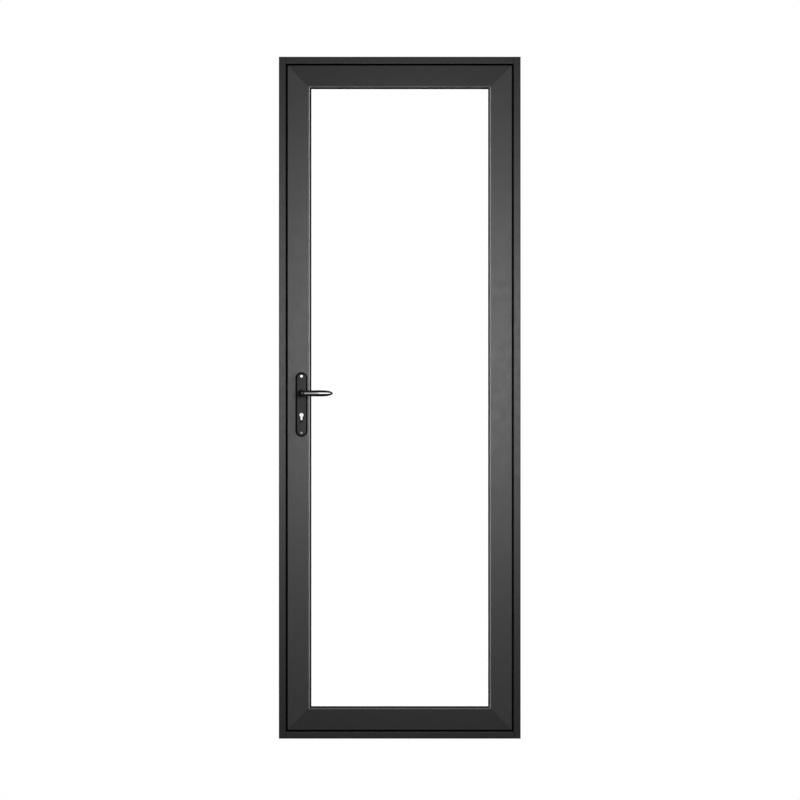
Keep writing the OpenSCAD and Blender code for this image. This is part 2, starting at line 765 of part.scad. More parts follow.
// Draws a piece of the front handle, or its mirror image on the rear face
module on_face(face) {
  if (face == "front") translate([axis_x, front_v, 0]) children();
  if (face == "rear") translate([axis_x, leaf_rear_v, 0]) mirror([0, 1, 0]) children();
}

// Handle plate lying on the leaf, with v = 0 at the leaf's face and its front at -plate_t
module handle_plate(face, through) color(black) on_face(face) difference() {
  translate([0, 0, plate_z]) hull() {
    along_y(plate_bevel - plate_t, 0) stadium(plate_w, plate_h);
    along_y(-plate_t, 0) stadium(plate_w - 2 * plate_bevel, plate_h - 2 * plate_bevel);
  }
  translate([0, 0, handle_z]) cyl_y(bush_r, -plate_t - 1, 1);
  translate([0, 0, cylinder_z]) along_y(-plate_t - 1, 1) cylinder_outline(slip);
  for (s = [-1, 1]) translate([0, 0, plate_z + s * plate_screw_pitch / 2])
    if (through) translate([0, -plate_t, 0]) rotate([90, 0, 0])
      screw(plate_screw_r, plate_screw_head_r, 2 * plate_t, slip);
    else cyl_y(plate_screw_r, 3 - plate_t, 1);
}

module handle_plate_front() handle_plate("front", true);
module handle_plate_rear() handle_plate("rear", false);

module handle_plate_screws() color("white") for (s = [-1, 1])
  translate([axis_x, front_v - plate_t, plate_z + s * plate_screw_pitch / 2])
    rotate([90, 0, 0]) socket_screw(plate_screw_r, plate_screw_head_r,
      leaf_d + 2 * plate_t - 4);

module lever_bushes() color(plastic) for (face = ["front", "rear"])
  on_face(face) translate([0, 0, handle_z]) difference() {
    cyl_y(bush_r, -plate_t, 0);
    cyl_y(spigot_r + run_fit, -plate_t - 1, 1);
  }

// Height of the grip at a share of its length, a lens that is fullest past its middle
function grip_h(t) = lever_h * (0.78 + 0.88 * t - 1.02 * t * t);

module lever(face) color(black) on_face(face) translate([0, 0, handle_z]) difference() {
  union() {
    cyl_y(neck_r, -grip_v - lever_t / 2 + 1.5, -plate_t - lever_gap);
    cyl_y(neck_r - 1.5, -grip_v - lever_t / 2, -plate_t - lever_gap);
    cyl_y(spigot_r, -plate_t - lever_gap - 1, 0);
    hull() for (t = [0, 0.25, 0.5, 0.75, 1])
      translate([neck_r / 2 + t * (lever_l - neck_r / 2 - 5), -grip_v, 0])
        scale([5, lever_t / 2, grip_h(t) / 2]) sphere(r = 1, $fn = 32);
  }
  translate([-spindle_w / 2, -plate_t - 14, -spindle_w / 2])
    cube([spindle_w, plate_t + 15, spindle_w]);
}

module lever_front() lever("front");
module lever_rear() lever("rear");

module spindle() color(steel) translate([axis_x - spindle_w / 2, front_v - plate_t - 13,
    handle_z - spindle_w / 2])
  cube([spindle_w, leaf_d + 2 * (plate_t + 13), spindle_w]);

frame_jamb_lock_front();
frame_jamb_lock_rear();
frame_jamb_hinge_front();
frame_jamb_hinge_rear();
frame_head_front();
frame_head_rear();
frame_sill_front();
frame_sill_rear();
frame_strips();
frame_corner_blocks();
frame_corner_screws();
keep_plate();
keep_housing();
keep_screws();
hinge_frame_half_1();
hinge_frame_half_2();
hinge_frame_half_3();
hinge_pins();
hinge_frame_screws();
leaf_stile_lock_front();
leaf_stile_lock_rear();
leaf_stile_hinge_front();
leaf_stile_hinge_rear();
leaf_rail_top_front();
leaf_rail_top_rear();
leaf_rail_bottom_front();
leaf_rail_bottom_rear();
leaf_strips();
leaf_corner_cleats();
pane_front();
pane_rear();
glass_spacer();
glass_sealant();
glazing_gasket_front();
glazing_gasket_rear();
beads_horizontal();
beads_vertical();
glazing_packers();
rebate_gasket();
centre_gasket();
hinge_leaf_half_1();
hinge_leaf_half_2();
hinge_leaf_half_3();
hinge_leaf_screws();
lock_case();
lock_face_plate();
lock_screws();
cylinder_body();
handle_plate_front();
handle_plate_rear();
handle_plate_screws();
lever_bushes();
lever_front();
lever_rear();
spindle();
follower();
latch_bolt();
dead_bolt();
cylinder_plugs();
cylinder_cam();
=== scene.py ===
"""Studio scene of a glazed door in its frame.

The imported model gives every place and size. This script dresses it: metal skins with broken edges, shaped
seals, clear panes, turned and pressed fittings, and levers lofted as smooth forms.
"""

import json
import logging
import math
from collections.abc import Callable, Sequence
from dataclasses import dataclass
from enum import Enum

import bmesh
import bpy
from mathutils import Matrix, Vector

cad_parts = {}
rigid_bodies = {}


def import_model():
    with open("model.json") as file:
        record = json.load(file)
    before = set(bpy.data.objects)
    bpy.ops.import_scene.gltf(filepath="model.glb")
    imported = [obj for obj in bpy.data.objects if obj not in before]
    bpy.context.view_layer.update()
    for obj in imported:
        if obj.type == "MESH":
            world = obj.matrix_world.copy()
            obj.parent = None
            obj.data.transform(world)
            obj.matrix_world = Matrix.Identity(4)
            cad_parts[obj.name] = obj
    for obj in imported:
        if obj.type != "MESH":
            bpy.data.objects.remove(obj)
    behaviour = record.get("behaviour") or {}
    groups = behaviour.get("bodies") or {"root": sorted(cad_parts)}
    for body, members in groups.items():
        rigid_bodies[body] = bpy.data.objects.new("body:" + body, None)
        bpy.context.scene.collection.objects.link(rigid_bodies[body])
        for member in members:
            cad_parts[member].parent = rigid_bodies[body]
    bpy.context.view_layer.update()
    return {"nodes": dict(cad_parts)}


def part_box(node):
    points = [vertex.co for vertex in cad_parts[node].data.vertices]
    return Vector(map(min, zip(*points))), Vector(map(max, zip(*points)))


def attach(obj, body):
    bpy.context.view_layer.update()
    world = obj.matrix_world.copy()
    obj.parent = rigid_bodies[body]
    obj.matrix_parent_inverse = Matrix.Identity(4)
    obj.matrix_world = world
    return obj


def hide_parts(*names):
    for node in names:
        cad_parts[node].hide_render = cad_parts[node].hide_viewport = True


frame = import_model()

LOG = logging.getLogger("glazed_door")
MM = 0.001
NEAR = 0.01 * MM
FLOAT, VECTOR, COLOR = "NodeSocketFloat", "NodeSocketVector", "NodeSocketColor"
GEOMETRY = "NodeSocketGeometry"
Color = tuple[float, float, float]
Outline = list[tuple[float, float]]


class Surface(Enum):
    """How a finish's fine relief runs."""

    TEXTURED = "fine powder texture"
    GLOSSY = "flowed gloss coat"
    BRUSHED_UP = "brushed along Z"
    BRUSHED_ACROSS = "brushed along X"
    TURNED = "turned about an axis along Y"
    MOULDED = "moulded plastic or rubber"


class Way(Enum):
    """A direction that a fastener's head or a turned piece faces."""

    FRONT = (0.0, -1.0, 0.0)
    REAR = (0.0, 1.0, 0.0)
    LOCK_SIDE = (-1.0, 0.0, 0.0)
    HINGE_SIDE = (1.0, 0.0, 0.0)
    UP = (0.0, 0.0, 1.0)
    DOWN = (0.0, 0.0, -1.0)


# ---- node trees ----


class Tree:
    """A node tree with short calls for adding and joining nodes."""

    def __init__(self, tree: bpy.types.NodeTree) -> None:
        """Wraps a tree.

        Args:
            tree: the tree that the calls add to.
        """
        self.tree = tree

    def add(self, kind: str, inputs: dict | None = None, **settings: object) -> bpy.types.Node:
        """Adds a node.

        Args:
            kind: the node's type name.
            inputs: values or sockets for its inputs, by name or number.
            **settings: attributes of the node.

        Returns:
            The new node.
        """
        node = self.tree.nodes.new(kind)
        for name, value in settings.items():
            setattr(node, name, value)
        for name, value in (inputs or {}).items():
            if isinstance(value, bpy.types.NodeSocket):
                self.tree.links.new(value, node.inputs[name])
            else:
                node.inputs[name].default_value = value
        return node

    def math(self, operation: str, *values: object) -> bpy.types.NodeSocket:
        """Adds a Math node.

        Args:
            operation: the node's operation.
            *values: numbers or sockets for its inputs.

        Returns:
            The result's socket.
        """
        return self.add("ShaderNodeMath", dict(enumerate(values)), operation=operation).outputs[0]

    def noise(self, scale: object, detail: float, vector: bpy.types.NodeSocket) -> bpy.types.NodeSocket:
        """Adds a Noise Texture.

        Args:
            scale: a number or socket, in cells per metre.
            detail: how many octaves it holds.
            vector: the coordinates that it reads.

        Returns:
            The socket of its value from 0 to 1.
        """
        inputs = {"Vector": vector, "Scale": scale, "Detail": detail}
        return self.add("ShaderNodeTexNoise", inputs).outputs["Fac"]

    def spread(self, value: bpy.types.NodeSocket, low: object, high: object) -> bpy.types.NodeSocket:
        """Stretches the middle of a noise over a range.

        Args:
            value: the noise, from 0 to 1.
            low: what its darker parts become.
            high: what its lighter parts become.

        Returns:
            The socket of the stretched value.
        """
        inputs = {"Value": value, "From Min": 0.3, "From Max": 0.7, "To Min": low, "To Max": high}
        return self.add("ShaderNodeMapRange", inputs).outputs["Result"]

    def blend(self, factor: object, first: object, second: object) -> bpy.types.NodeSocket:
        """Mixes two colours.

        Args:
            factor: how much of the second shows.
            first: a colour or socket.
            second: a colour or socket.

        Returns:
            The socket of the mixed colour.
        """
        node = self.add("ShaderNodeMix", data_type="RGBA")
        for place, value in ((0, factor), (6, first), (7, second)):
            if isinstance(value, bpy.types.NodeSocket):
                self.tree.links.new(value, node.inputs[place])
            else:
                node.inputs[place].default_value = value
        return node.outputs[2]


def make_group(name: str, kind: str, inputs: Sequence[tuple], outputs: Sequence[tuple]) -> tuple:
    """Starts a node group, or finds it if it is already there.

    Args:
        name: the group's name.
        kind: the type name of its tree.
        inputs: (name, socket type, default or None) for each input.
        outputs: (name, socket type) for each output.

    Returns:
        The group, its Tree or None if it was there, its input node and its output node.
    """
    found = bpy.data.node_groups.get(name)
    if found:
        return found, None, None, None
    group = bpy.data.node_groups.new(name, kind)
    for label, socket, default in inputs:
        made = group.interface.new_socket(name=label, in_out="INPUT", socket_type=socket)
        if default is not None:
            made.default_value = default
    for label, socket in outputs:
        group.interface.new_socket(name=label, in_out="OUTPUT", socket_type=socket)
    tree = Tree(group)
    return group, tree, tree.add("NodeGroupInput"), tree.add("NodeGroupOutput")


def tone_group() -> bpy.types.NodeTree:
    """Builds the group that varies a colour softly, lays dust on faces that look up and paints an edge
    highlight: lighter broken patches on sharp edges.

    Returns:
        The group, whose Color output varies over the surface.
    """
    group, tree, given, made = make_group(
        "tone_and_dust", "ShaderNodeTree",
        [("Color", COLOR, None), ("Shift", FLOAT, 0.1), ("Patch Scale", FLOAT, 4.0), ("Dust", FLOAT, 0.1),
         ("Wear", FLOAT, 0.1), ("Worn Color", COLOR, None)],
        [("Color", COLOR)],
    )
    if tree is None:
        return group
    place = tree.add("ShaderNodeTexCoord").outputs["Object"]
    shape = tree.add("ShaderNodeNewGeometry")
    patches = tree.noise(given.outputs["Patch Scale"], 3.0, place)
    low = tree.math("SUBTRACT", 1.0, given.outputs["Shift"])
    high = tree.math("ADD", 1.0, given.outputs["Shift"])
    gain = tree.spread(patches, low, high)
    scaled = tree.add("ShaderNodeVectorMath", {0: given.outputs["Color"]}, operation="SCALE")
    tree.tree.links.new(gain, scaled.inputs["Scale"])
    split = tree.add("ShaderNodeSeparateXYZ", {0: shape.outputs["Normal"]})
    upward = tree.math("MAXIMUM", split.outputs["Z"], 0.0)
    specks = tree.spread(tree.noise(260.0, 4.0, place), 0.2, 1.0)
    dust = tree.math("MULTIPLY", tree.math("MULTIPLY", upward, specks), given.outputs["Dust"])
    dusty = tree.blend(dust, scaled.outputs[0], (0.42, 0.40, 0.37, 1.0))
    # Broken patches on sharp edges turn lighter: a painted edge highlight.
    ridge = tree.add(
        "ShaderNodeMapRange",
        {"Value": shape.outputs["Pointiness"], "From Min": 0.52, "From Max": 0.62},
    ).outputs["Result"]
    broken = tree.math("MULTIPLY", ridge, tree.spread(tree.noise(90.0, 5.0, place), 0.0, 1.0))
    painted_edge_highlight = tree.math("MULTIPLY", broken, given.outputs["Wear"])
    result = tree.blend(painted_edge_highlight, dusty, given.outputs["Worn Color"])
    tree.tree.links.new(result, made.inputs["Color"])
    return group


RELIEF_OUTPUTS = [("Roughness", FLOAT), ("Normal", VECTOR)]


def end_relief(
    tree: Tree, given: bpy.types.Node, made: bpy.types.Node, height: bpy.types.NodeSocket,
    gloss: bpy.types.NodeSocket, waves: bpy.types.NodeSocket | None = None,
) -> None:
    """Adds the end that the relief groups share: a straying roughness and a bump.

    Args:
        tree: the group's tree.
        given: its input node.
        made: its output node.
        height: the height of the relief.
        gloss: what the roughness strays with.
        waves: the normal that the relief lies on, or None for the surface's own.
    """
    low = tree.math("SUBTRACT", given.outputs["Roughness"], given.outputs["Spread"])
    high = tree.math("ADD", given.outputs["Roughness"], given.outputs["Spread"])
    tree.tree.links.new(tree.spread(gloss, low, high), made.inputs["Roughness"])
    inputs = {"Height": height, "Distance": given.outputs["Depth"], "Strength": 1.0}
    if waves is not None:
        inputs["Normal"] = waves
    bump = tree.add("ShaderNodeBump", inputs)
    tree.tree.links.new(bump.outputs["Normal"], made.inputs["Normal"])


def grain_group() -> bpy.types.NodeTree:
    """Builds the group that gives an even fine relief, as on powder coat, gloss coat or moulded plastic.

    Returns:
        The group, with Roughness and Normal outputs.
    """
    group, tree, given, made = make_group(
        "even_grain", "ShaderNodeTree",
        [("Scale", FLOAT, 1500.0), ("Depth", FLOAT, 0.00001), ("Waviness", FLOAT, 0.0),
         ("Roughness", FLOAT, 0.4), ("Spread", FLOAT, 0.05)],
        RELIEF_OUTPUTS,
    )
    if tree is None:
        return group
    place = tree.add("ShaderNodeTexCoord").outputs["Object"]
    fine = tree.noise(given.outputs["Scale"], 2.0, place)
    broad = tree.noise(35.0, 2.0, place)
    wave = tree.add(
        "ShaderNodeBump", {"Height": broad, "Distance": given.outputs["Waviness"], "Strength": 1.0}
    )
    end_relief(tree, given, made, fine, broad, wave.outputs["Normal"])
    return group


def brushed_group() -> bpy.types.NodeTree:
    """Builds the group of fine scratches that run one way, for brushed and drawn metal.

    Returns:
        The group, with Roughness and Normal outputs.
    """
    group, tree, given, made = make_group(
        "one_way_brushing", "ShaderNodeTree",
        [("Stretch", VECTOR, None), ("Depth", FLOAT, 0.000004), ("Roughness", FLOAT, 0.3),
         ("Spread", FLOAT, 0.08)],
        RELIEF_OUTPUTS,
    )
    if tree is None:
        return group
    place = tree.add("ShaderNodeTexCoord").outputs["Object"]
    drawn = tree.add("ShaderNodeMapping", {"Vector": place, "Scale": given.outputs["Stretch"]})
    lines = tree.noise(1.0, 4.0, drawn.outputs["Vector"])
    end_relief(tree, given, made, lines, lines)
    return group


def turned_group() -> bpy.types.NodeTree:
    """Builds the group of fine rings round an axis along Y, for turned metal.

    Returns:
        The group, with Roughness and Normal outputs.
    """
    group, tree, given, made = make_group(
        "turned_rings", "ShaderNodeTree",
        [("Centre", VECTOR, None), ("Scale", FLOAT, 900.0), ("Depth", FLOAT, 0.000003),
         ("Roughness", FLOAT, 0.2), ("Spread", FLOAT, 0.06)],
        RELIEF_OUTPUTS,
    )
    if tree is None:
        return group
    place = tree.add("ShaderNodeTexCoord").outputs["Object"]
    moved = tree.add("ShaderNodeVectorMath", {0: place, 1: given.outputs["Centre"]}, operation="SUBTRACT")
    rings = tree.add(
        "ShaderNodeTexWave",
        {"Vector": moved.outputs[0], "Scale": given.outputs["Scale"], "Distortion": 1.5, "Detail": 2.0},
        wave_type="RINGS",
        rings_direction="Y",
    )
    end_relief(tree, given, made, rings.outputs["Fac"], rings.outputs["Fac"])
    return group


# ---- finishes ----


def start_material(name: str) -> tuple[bpy.types.Material, bool]:
    """Starts a material, or finds it if it is already there.

    Args:
        name: the material's name.

    Returns:
        The material, and whether it is new.
    """
    found = bpy.data.materials.get(name)
    if found:
        return found, False
    material = bpy.data.materials.new(name)
    material.use_nodes = True
    return material, True


@dataclass(frozen=True)
class Finish:
    """A surface finish: its colour, its gloss and its fine relief.

    Attributes:
        name: the material's name.
        slot: the record's material slot.
        color: linear base colour.
        surface: how the fine relief runs.
        roughness: middle of the roughness.
        spread: how far the roughness strays from it.
        metallic: 1 for bare metal, 0 for a coat, plastic or rubber.
        coat: weight of a clear layer on top.
        specular: strength of the surface's own reflection.
        grain: fine cells per metre.
        depth: height of the relief in metres.
        waviness: height of the broad waves in metres.
        shift: how far the colour strays, as a share.
        dust: how much dust lies on faces that look up.
        wear: how strongly broken patches on sharp edges are lightened, as a painted edge highlight.
        painted_edge_highlight: colour of the painted edge highlight.
        centre: a point on the axis, for a turned surface.
    """

    name: str
    slot: str
    color: Color
    surface: Surface
    roughness: float
    spread: float = 0.05
    metallic: float = 0.0
    coat: float = 0.0
    specular: float = 0.5
    grain: float = 1500.0
    depth: float = 0.00001
    waviness: float = 0.0
    shift: float = 0.08
    dust: float = 0.06
    wear: float = 0.0
    painted_edge_highlight: Color = (0.3, 0.3, 0.3)
    centre: tuple[float, float, float] = (0.0, 0.0, 0.0)

    def relief(self, tree: Tree) -> bpy.types.Node:
        """Places the group that makes this finish's relief.

        Args:
            tree: the material's tree.

        Returns:
            The group's node.
        """
        inputs = {"Depth": self.depth, "Roughness": self.roughness, "Spread": self.spread}
        if self.surface in (Surface.BRUSHED_UP, Surface.BRUSHED_ACROSS):
            up = self.surface is Surface.BRUSHED_UP
            inputs["Stretch"] = (self.grain, self.grain, 12.0) if up else (12.0, self.grain, self.grain)
            return tree.add("ShaderNodeGroup", inputs, node_tree=brushed_group())
        inputs["Scale"] = self.grain
        if self.surface is Surface.TURNED:
            inputs["Centre"] = self.centre
            return tree.add("ShaderNodeGroup", inputs, node_tree=turned_group())
        inputs["Waviness"] = self.waviness
        return tree.add("ShaderNodeGroup", inputs, node_tree=grain_group())

    def material(self) -> bpy.types.Material:
        """Builds the material, or finds it if it is already there.

        Returns:
            The material.
        """
        material, new = start_material(self.name)
        if not new:
            return material
        material.diffuse_color = (*self.color, 1.0)
        tree = Tree(material.node_tree)
        shader = material.node_tree.nodes["Principled BSDF"]
        shader.inputs["Metallic"].default_value = self.metallic
        shader.inputs["Coat Weight"].default_value = self.coat
        shader.inputs["Coat Roughness"].default_value = 0.05
        shader.inputs["Specular IOR Level"].default_value = self.specular
        # The edge settings feed the group's painted edge highlight.
        inputs = {"Color": (*self.color, 1.0), "Shift": self.shift, "Dust": self.dust, "Wear": self.wear,
                  "Worn Color": (*self.painted_edge_highlight, 1.0)}
        tone = tree.add("ShaderNodeGroup", inputs, node_tree=tone_group())
        relief = self.relief(tree)
        links = material.node_tree.links
        links.new(tone.outputs["Color"], shader.inputs["Base Color"])
        links.new(relief.outputs["Roughness"], shader.inputs["Roughness"])
        links.new(relief.outputs["Normal"], shader.inputs["Normal"])
        return material


@dataclass(frozen=True)
class ClearGlass:
    """Clear float glass.

    Attributes:
        name: the material's name.
        slot: the record's material slot; not used.
        color: faint body tint.
        ior: index of refraction.
    """

    name: str = "clear_float_glass"
    slot: str = "clear_glass"
    color: Color = (0.975, 0.99, 0.985)
    ior: float = 1.5

    def material(self) -> bpy.types.Material:
        """Builds the material, or finds it if it is already there.

        Returns:
            The material, which lets lamps through.
        """
        material, new = start_material(self.name)
        if not new:
            return material
        nodes, links = material.node_tree.nodes, material.node_tree.links
        shader = nodes["Principled BSDF"]
        shader.inputs["Base Color"].default_value = (*self.color, 1.0)
        shader.inputs["Roughness"].default_value = 0.0
        shader.inputs["IOR"].default_value = self.ior
        shader.inputs["Transmission Weight"].default_value = 1.0
        through = nodes.new("ShaderNodeBsdfTransparent")
        path = nodes.new("ShaderNodeLightPath")
        mix = nodes.new("ShaderNodeMixShader")
        links.new(path.outputs["Is Shadow Ray"], mix.inputs["Fac"])
        links.new(shader.outputs["BSDF"], mix.inputs[1])
        links.new(through.outputs["BSDF"], mix.inputs[2])
        links.new(mix.outputs["Shader"], nodes["Material Output"].inputs["Surface"])
        return material


AnyFinish = Finish | ClearGlass

# The edge settings of these finishes paint an edge highlight: lighter broken patches on sharp edges.
COAT = Finish("charcoal_powder_coat", "frame_coat", (0.021, 0.021, 0.022), Surface.TEXTURED, 0.46,
              spread=0.03, grain=1400.0, depth=0.00006, shift=0.05, wear=0.06, painted_edge_highlight=(0.06, 0.06, 0.06))
HINGE_COAT = Finish("hinge_powder_coat", "hinge_coat", (0.024, 0.024, 0.026), Surface.TEXTURED, 0.40,
                    grain=1600.0, depth=0.00004, wear=0.18, painted_edge_highlight=(0.16, 0.16, 0.16))
PLATE_BLACK = Finish("plate_satin_black", "plate_black", (0.009, 0.009, 0.0093), Surface.TEXTURED, 0.42,
                     grain=2200.0, depth=0.00003, specular=0.20, wear=0.04, painted_edge_highlight=(0.03, 0.03, 0.03))
# A darker copy of the plate's black for its rolled rim: painted shade round the plate's edge.
PLATE_RIM_SHADE = Finish("plate_rim_black", "plate_black", (0.003, 0.003, 0.003), Surface.TEXTURED, 0.50,
                   grain=2200.0, depth=0.00002, specular=0.06, dust=0.0)
LEVER_BLACK = Finish("lever_gloss_black", "lever_black", (0.003, 0.003, 0.003), Surface.GLOSSY, 0.15,
                     spread=0.02, coat=1.0, grain=500.0, depth=0.000004, waviness=0.00003, dust=0.0)
LEVER_SATIN = Finish("lever_satin_black", "lever_black", (0.002, 0.002, 0.002), Surface.GLOSSY, 0.30,
                     spread=0.03, grain=700.0, depth=0.000006, specular=0.16, dust=0.0)
RUBBER = Finish("seal_rubber_black", "seal_rubber", (0.004, 0.004, 0.004), Surface.MOULDED, 0.72,
                grain=2600.0, depth=0.00003, shift=0.2, specular=0.2, dust=0.02)
POLYAMIDE = Finish("insulating_polyamide", "insulation", (0.012, 0.012, 0.012), Surface.BRUSHED_UP, 0.62,
                   grain=900.0, depth=0.00001, shift=0.15)
MILL_METAL = Finish("mill_finish_metal", "bare_metal", (0.62, 0.62, 0.63), Surface.BRUSHED_UP, 0.38,
                    metallic=1.0, grain=1500.0, depth=0.000006)
LOCK_STEEL = Finish("satin_lock_steel", "lock_steel", (0.56, 0.56, 0.57), Surface.BRUSHED_UP, 0.30,
                    metallic=1.0, grain=2200.0, depth=0.000005, shift=0.05)
BOLT_STEEL = Finish("satin_bolt_steel", "lock_steel", (0.16, 0.16, 0.165), Surface.BRUSHED_ACROSS, 0.34,
                    metallic=1.0, grain=1800.0, depth=0.000005, shift=0.05)
SCREW_STEEL = Finish("zinc_screw_steel", "screw_steel", (0.60, 0.60, 0.62), Surface.GLOSSY, 0.28,
                     metallic=1.0, grain=3000.0, depth=0.000004, shift=0.1)
COLLAR_BLACK = Finish("collar_black", "plate_black", (0.004, 0.004, 0.004), Surface.MOULDED, 0.45,
                      grain=1500.0, depth=0.00001, specular=0.15, dust=0.02)
BRIGHT_SCREW = Finish("bright_nickel_screw", "bright_screw", (0.86, 0.86, 0.86), Surface.GLOSSY, 0.22,
                      metallic=1.0, grain=2500.0, depth=0.000003, shift=0.03)
NICKEL = Finish("satin_nickel", "nickel", (0.80, 0.79, 0.77), Surface.TURNED, 0.26,
                metallic=1.0, grain=700.0, depth=0.000004, shift=0.04)
SPACER_METAL = Finish("spacer_anodised", "spacer_metal", (0.32, 0.32, 0.33), Surface.BRUSHED_UP, 0.42,
                      metallic=1.0, grain=1200.0, depth=0.000004)
# Near-black cards for the spacer's perforations: painted shade inside the holes.
SPACER_HOLE_SHADE = Finish("spacer_perforation", "spacer_metal", (0.01, 0.01, 0.01), Surface.MOULDED, 0.8)
HOUSING_PLASTIC = Finish("housing_black_plastic", "housing_plastic", (0.02, 0.02, 0.02), Surface.MOULDED,
                         0.5, grain=900.0, depth=0.00003)
BLOCK_PLASTIC = Finish("setting_block_plastic", "setting_block", (0.03, 0.09, 0.26), Surface.MOULDED, 0.5,
                       grain=700.0, depth=0.00003)
GLASS = ClearGlass()


# ---- mesh work ----


def new_object(name: str, mesh: bpy.types.Mesh) -> bpy.types.Object:
    """Makes an object for a mesh and links it to the scene.

    Args:
        name: the object's name.
        mesh: its mesh.

    Returns:
        The object.
    """
    piece = bpy.data.objects.new(name, mesh)
    bpy.context.scene.collection.objects.link(piece)
    return piece


def from_points(
    name: str, points: Sequence[Sequence[float]], faces: Sequence[Sequence[int]]
) -> bpy.types.Object:
    """Makes a mesh object with its faces pointing outwards.

    Args:
        name: the object's name.
        points: the vertices, in metres.
        faces: indices of each face's vertices.

    Returns:
        The object.
    """
    mesh = bpy.data.meshes.new(name)
    mesh.from_pydata([tuple(p) for p in points], [], [tuple(f) for f in faces])
    shell = bmesh.new()
    shell.from_mesh(mesh)
    bmesh.ops.remove_doubles(shell, verts=shell.verts, dist=1e-6)
    bmesh.ops.recalc_face_normals(shell, faces=shell.faces)
    shell.to_mesh(mesh)
    shell.free()
    return new_object(name, mesh)


def settle(piece: bpy.types.Object) -> bpy.types.Object:
    """Turns a piece with modifiers into a plain mesh.

    Args:
        piece: the object whose modifiers are applied.

    Returns:
        The same object, with no modifiers.
    """
    depsgraph = bpy.context.evaluated_depsgraph_get()
    made = bpy.data.meshes.new_from_object(piece.evaluated_get(depsgraph))
    piece.modifiers.clear()
    piece.data = made
    return piece


def round_off(
    piece: bpy.types.Object, edge: float, segments: int = 2, angle: float = 38.0
) -> bpy.types.Object:
    """Breaks a piece's sharp edges.

    Args:
        piece: the object.
        edge: width of the broken edge in metres.
        segments: steps across it.
        angle: edges sharper than this many degrees are broken.

    Returns:
        The same object.
    """
    bevel = piece.modifiers.new("broken_edges", "BEVEL")
    bevel.width = edge
    bevel.segments = segments
    bevel.limit_method = "ANGLE"
    bevel.angle_limit = math.radians(angle)
    bevel.use_clamp_overlap = False
    return settle(piece)


def shade(piece: bpy.types.Object, angle: float = 32.0) -> bpy.types.Object:
    """Shades a piece smooth, with its flat faces level and its sharp edges kept.

    Args:
        piece: the object.
        angle: edges sharper than this many degrees stay sharp.

    Returns:
        The same object.
    """
    piece.data.shade_smooth()
    piece.data.set_sharp_from_angle(angle=math.radians(angle))
    level = piece.modifiers.new("level_faces", "WEIGHTED_NORMAL")
    level.mode = "FACE_AREA"
    level.weight = 80
    level.keep_sharp = True
    return settle(piece)


def copy_of(node: str, name: str) -> bpy.types.Object:
    """Copies a CAD node's mesh, merged, with its flat faces whole.

    Args:
        node: the CAD node.
        name: the copy's name.

    Returns:
        The new object.
    """
    mesh = frame["nodes"][node].data.copy()
    mesh.name = name
    mesh.materials.clear()
    shell = bmesh.new()
    shell.from_mesh(mesh)
    bmesh.ops.remove_doubles(shell, verts=shell.verts, dist=2e-6)
    bmesh.ops.dissolve_limit(shell, angle_limit=math.radians(0.4), verts=shell.verts, edges=shell.edges)
    shell.to_mesh(mesh)
    shell.free()
    return new_object(name, mesh)


def islands(node: str) -> list[tuple[Vector, Vector]]:
    """Finds the separate solids of a CAD node.

    Args:
        node: the CAD node.

    Returns:
        The lowest and highest corner of each, from the lowest up.
    """
    shell = bmesh.new()
    shell.from_mesh(frame["nodes"][node].data)
    bmesh.ops.remove_doubles(shell, verts=shell.verts, dist=2e-6)
    left, boxes = set(shell.verts), []
    while left:
        todo, seen = [left.pop()], []
        while todo:
            point = todo.pop()
            seen.append(point.co.copy())
            for edge in point.link_edges:
                other = edge.other_vert(point)
                if other in left:
                    left.remove(other)
                    todo.append(other)
        low = Vector([min(p[i] for p in seen) for i in range(3)])
        high = Vector([max(p[i] for p in seen) for i in range(3)])
        boxes.append((low, high))
    shell.free()
    return sorted(boxes, key=lambda box: (round(box[0].z, 4), round(box[0].x, 4)))


def ring_faces(rings: int, sides: int, closed: bool = False) -> list[tuple[int, ...]]:
    """Joins rings of points, held one after another, with four-sided faces.

    Args:
        rings: how many rings there are.
        sides: points in each ring.
        closed: whether the last ring meets the first; if not, both ends are capped.

    Returns:
        The indices of each face's points.
    """
    faces = []
    for ring in range(rings if closed else rings - 1):
        here, after = ring * sides, (ring + 1) % rings * sides
        for i in range(sides):
            j = (i + 1) % sides
            faces.append((here + i, here + j, after + j, after + i))
    if not closed:
        faces.append(tuple(range(sides)))
        faces.append(tuple(range((rings - 1) * sides, rings * sides)))
    return faces


def lathe(name: str, outline: Outline, centre: Vector, way: Way, steps: int = 48) -> bpy.types.Object:
    """Turns an outline about an axis.

    Args:
        name: the object's name.
        outline: (radius, height) pairs in metres, from one end to the other.
        centre: the point where the height is 0.
        way: the way that heights run.
        steps: sides of the turned piece.

    Returns:
        The object.
    """
    axis = Vector(way.value)
    turn = axis.to_track_quat("Z", "Y").to_matrix()
    points = []
    for radius, height in outline:
        for step in range(steps):
            angle = 2 * math.pi * step / steps
            local = Vector((radius * math.cos(angle), radius * math.sin(angle), height))
            points.append(centre + turn @ local)
    return from_points(name, points, ring_faces(len(outline), steps))


def frame_sweep(name: str, outline: Outline, low: Vector, high: Vector) -> bpy.types.Object:
    """Runs an outline round a rectangle in X and Z, mitred at its corners.

    Args:
        name: the object's name.
        outline: closed outline of (inset from the rectangle, depth along Y) in metres.
        low: the rectangle's lowest corner.
        high: its highest corner.

    Returns:
        The object.
    """
    points = []
    for side_x, side_z in ((0, 0), (1, 0), (1, 1), (0, 1)):
        for inset, depth in outline:
            x = high.x - inset if side_x else low.x + inset
            z = high.z - inset if side_z else low.z + inset
            points.append((x, depth, z))
    return from_points(name, points, ring_faces(4, len(outline), closed=True))


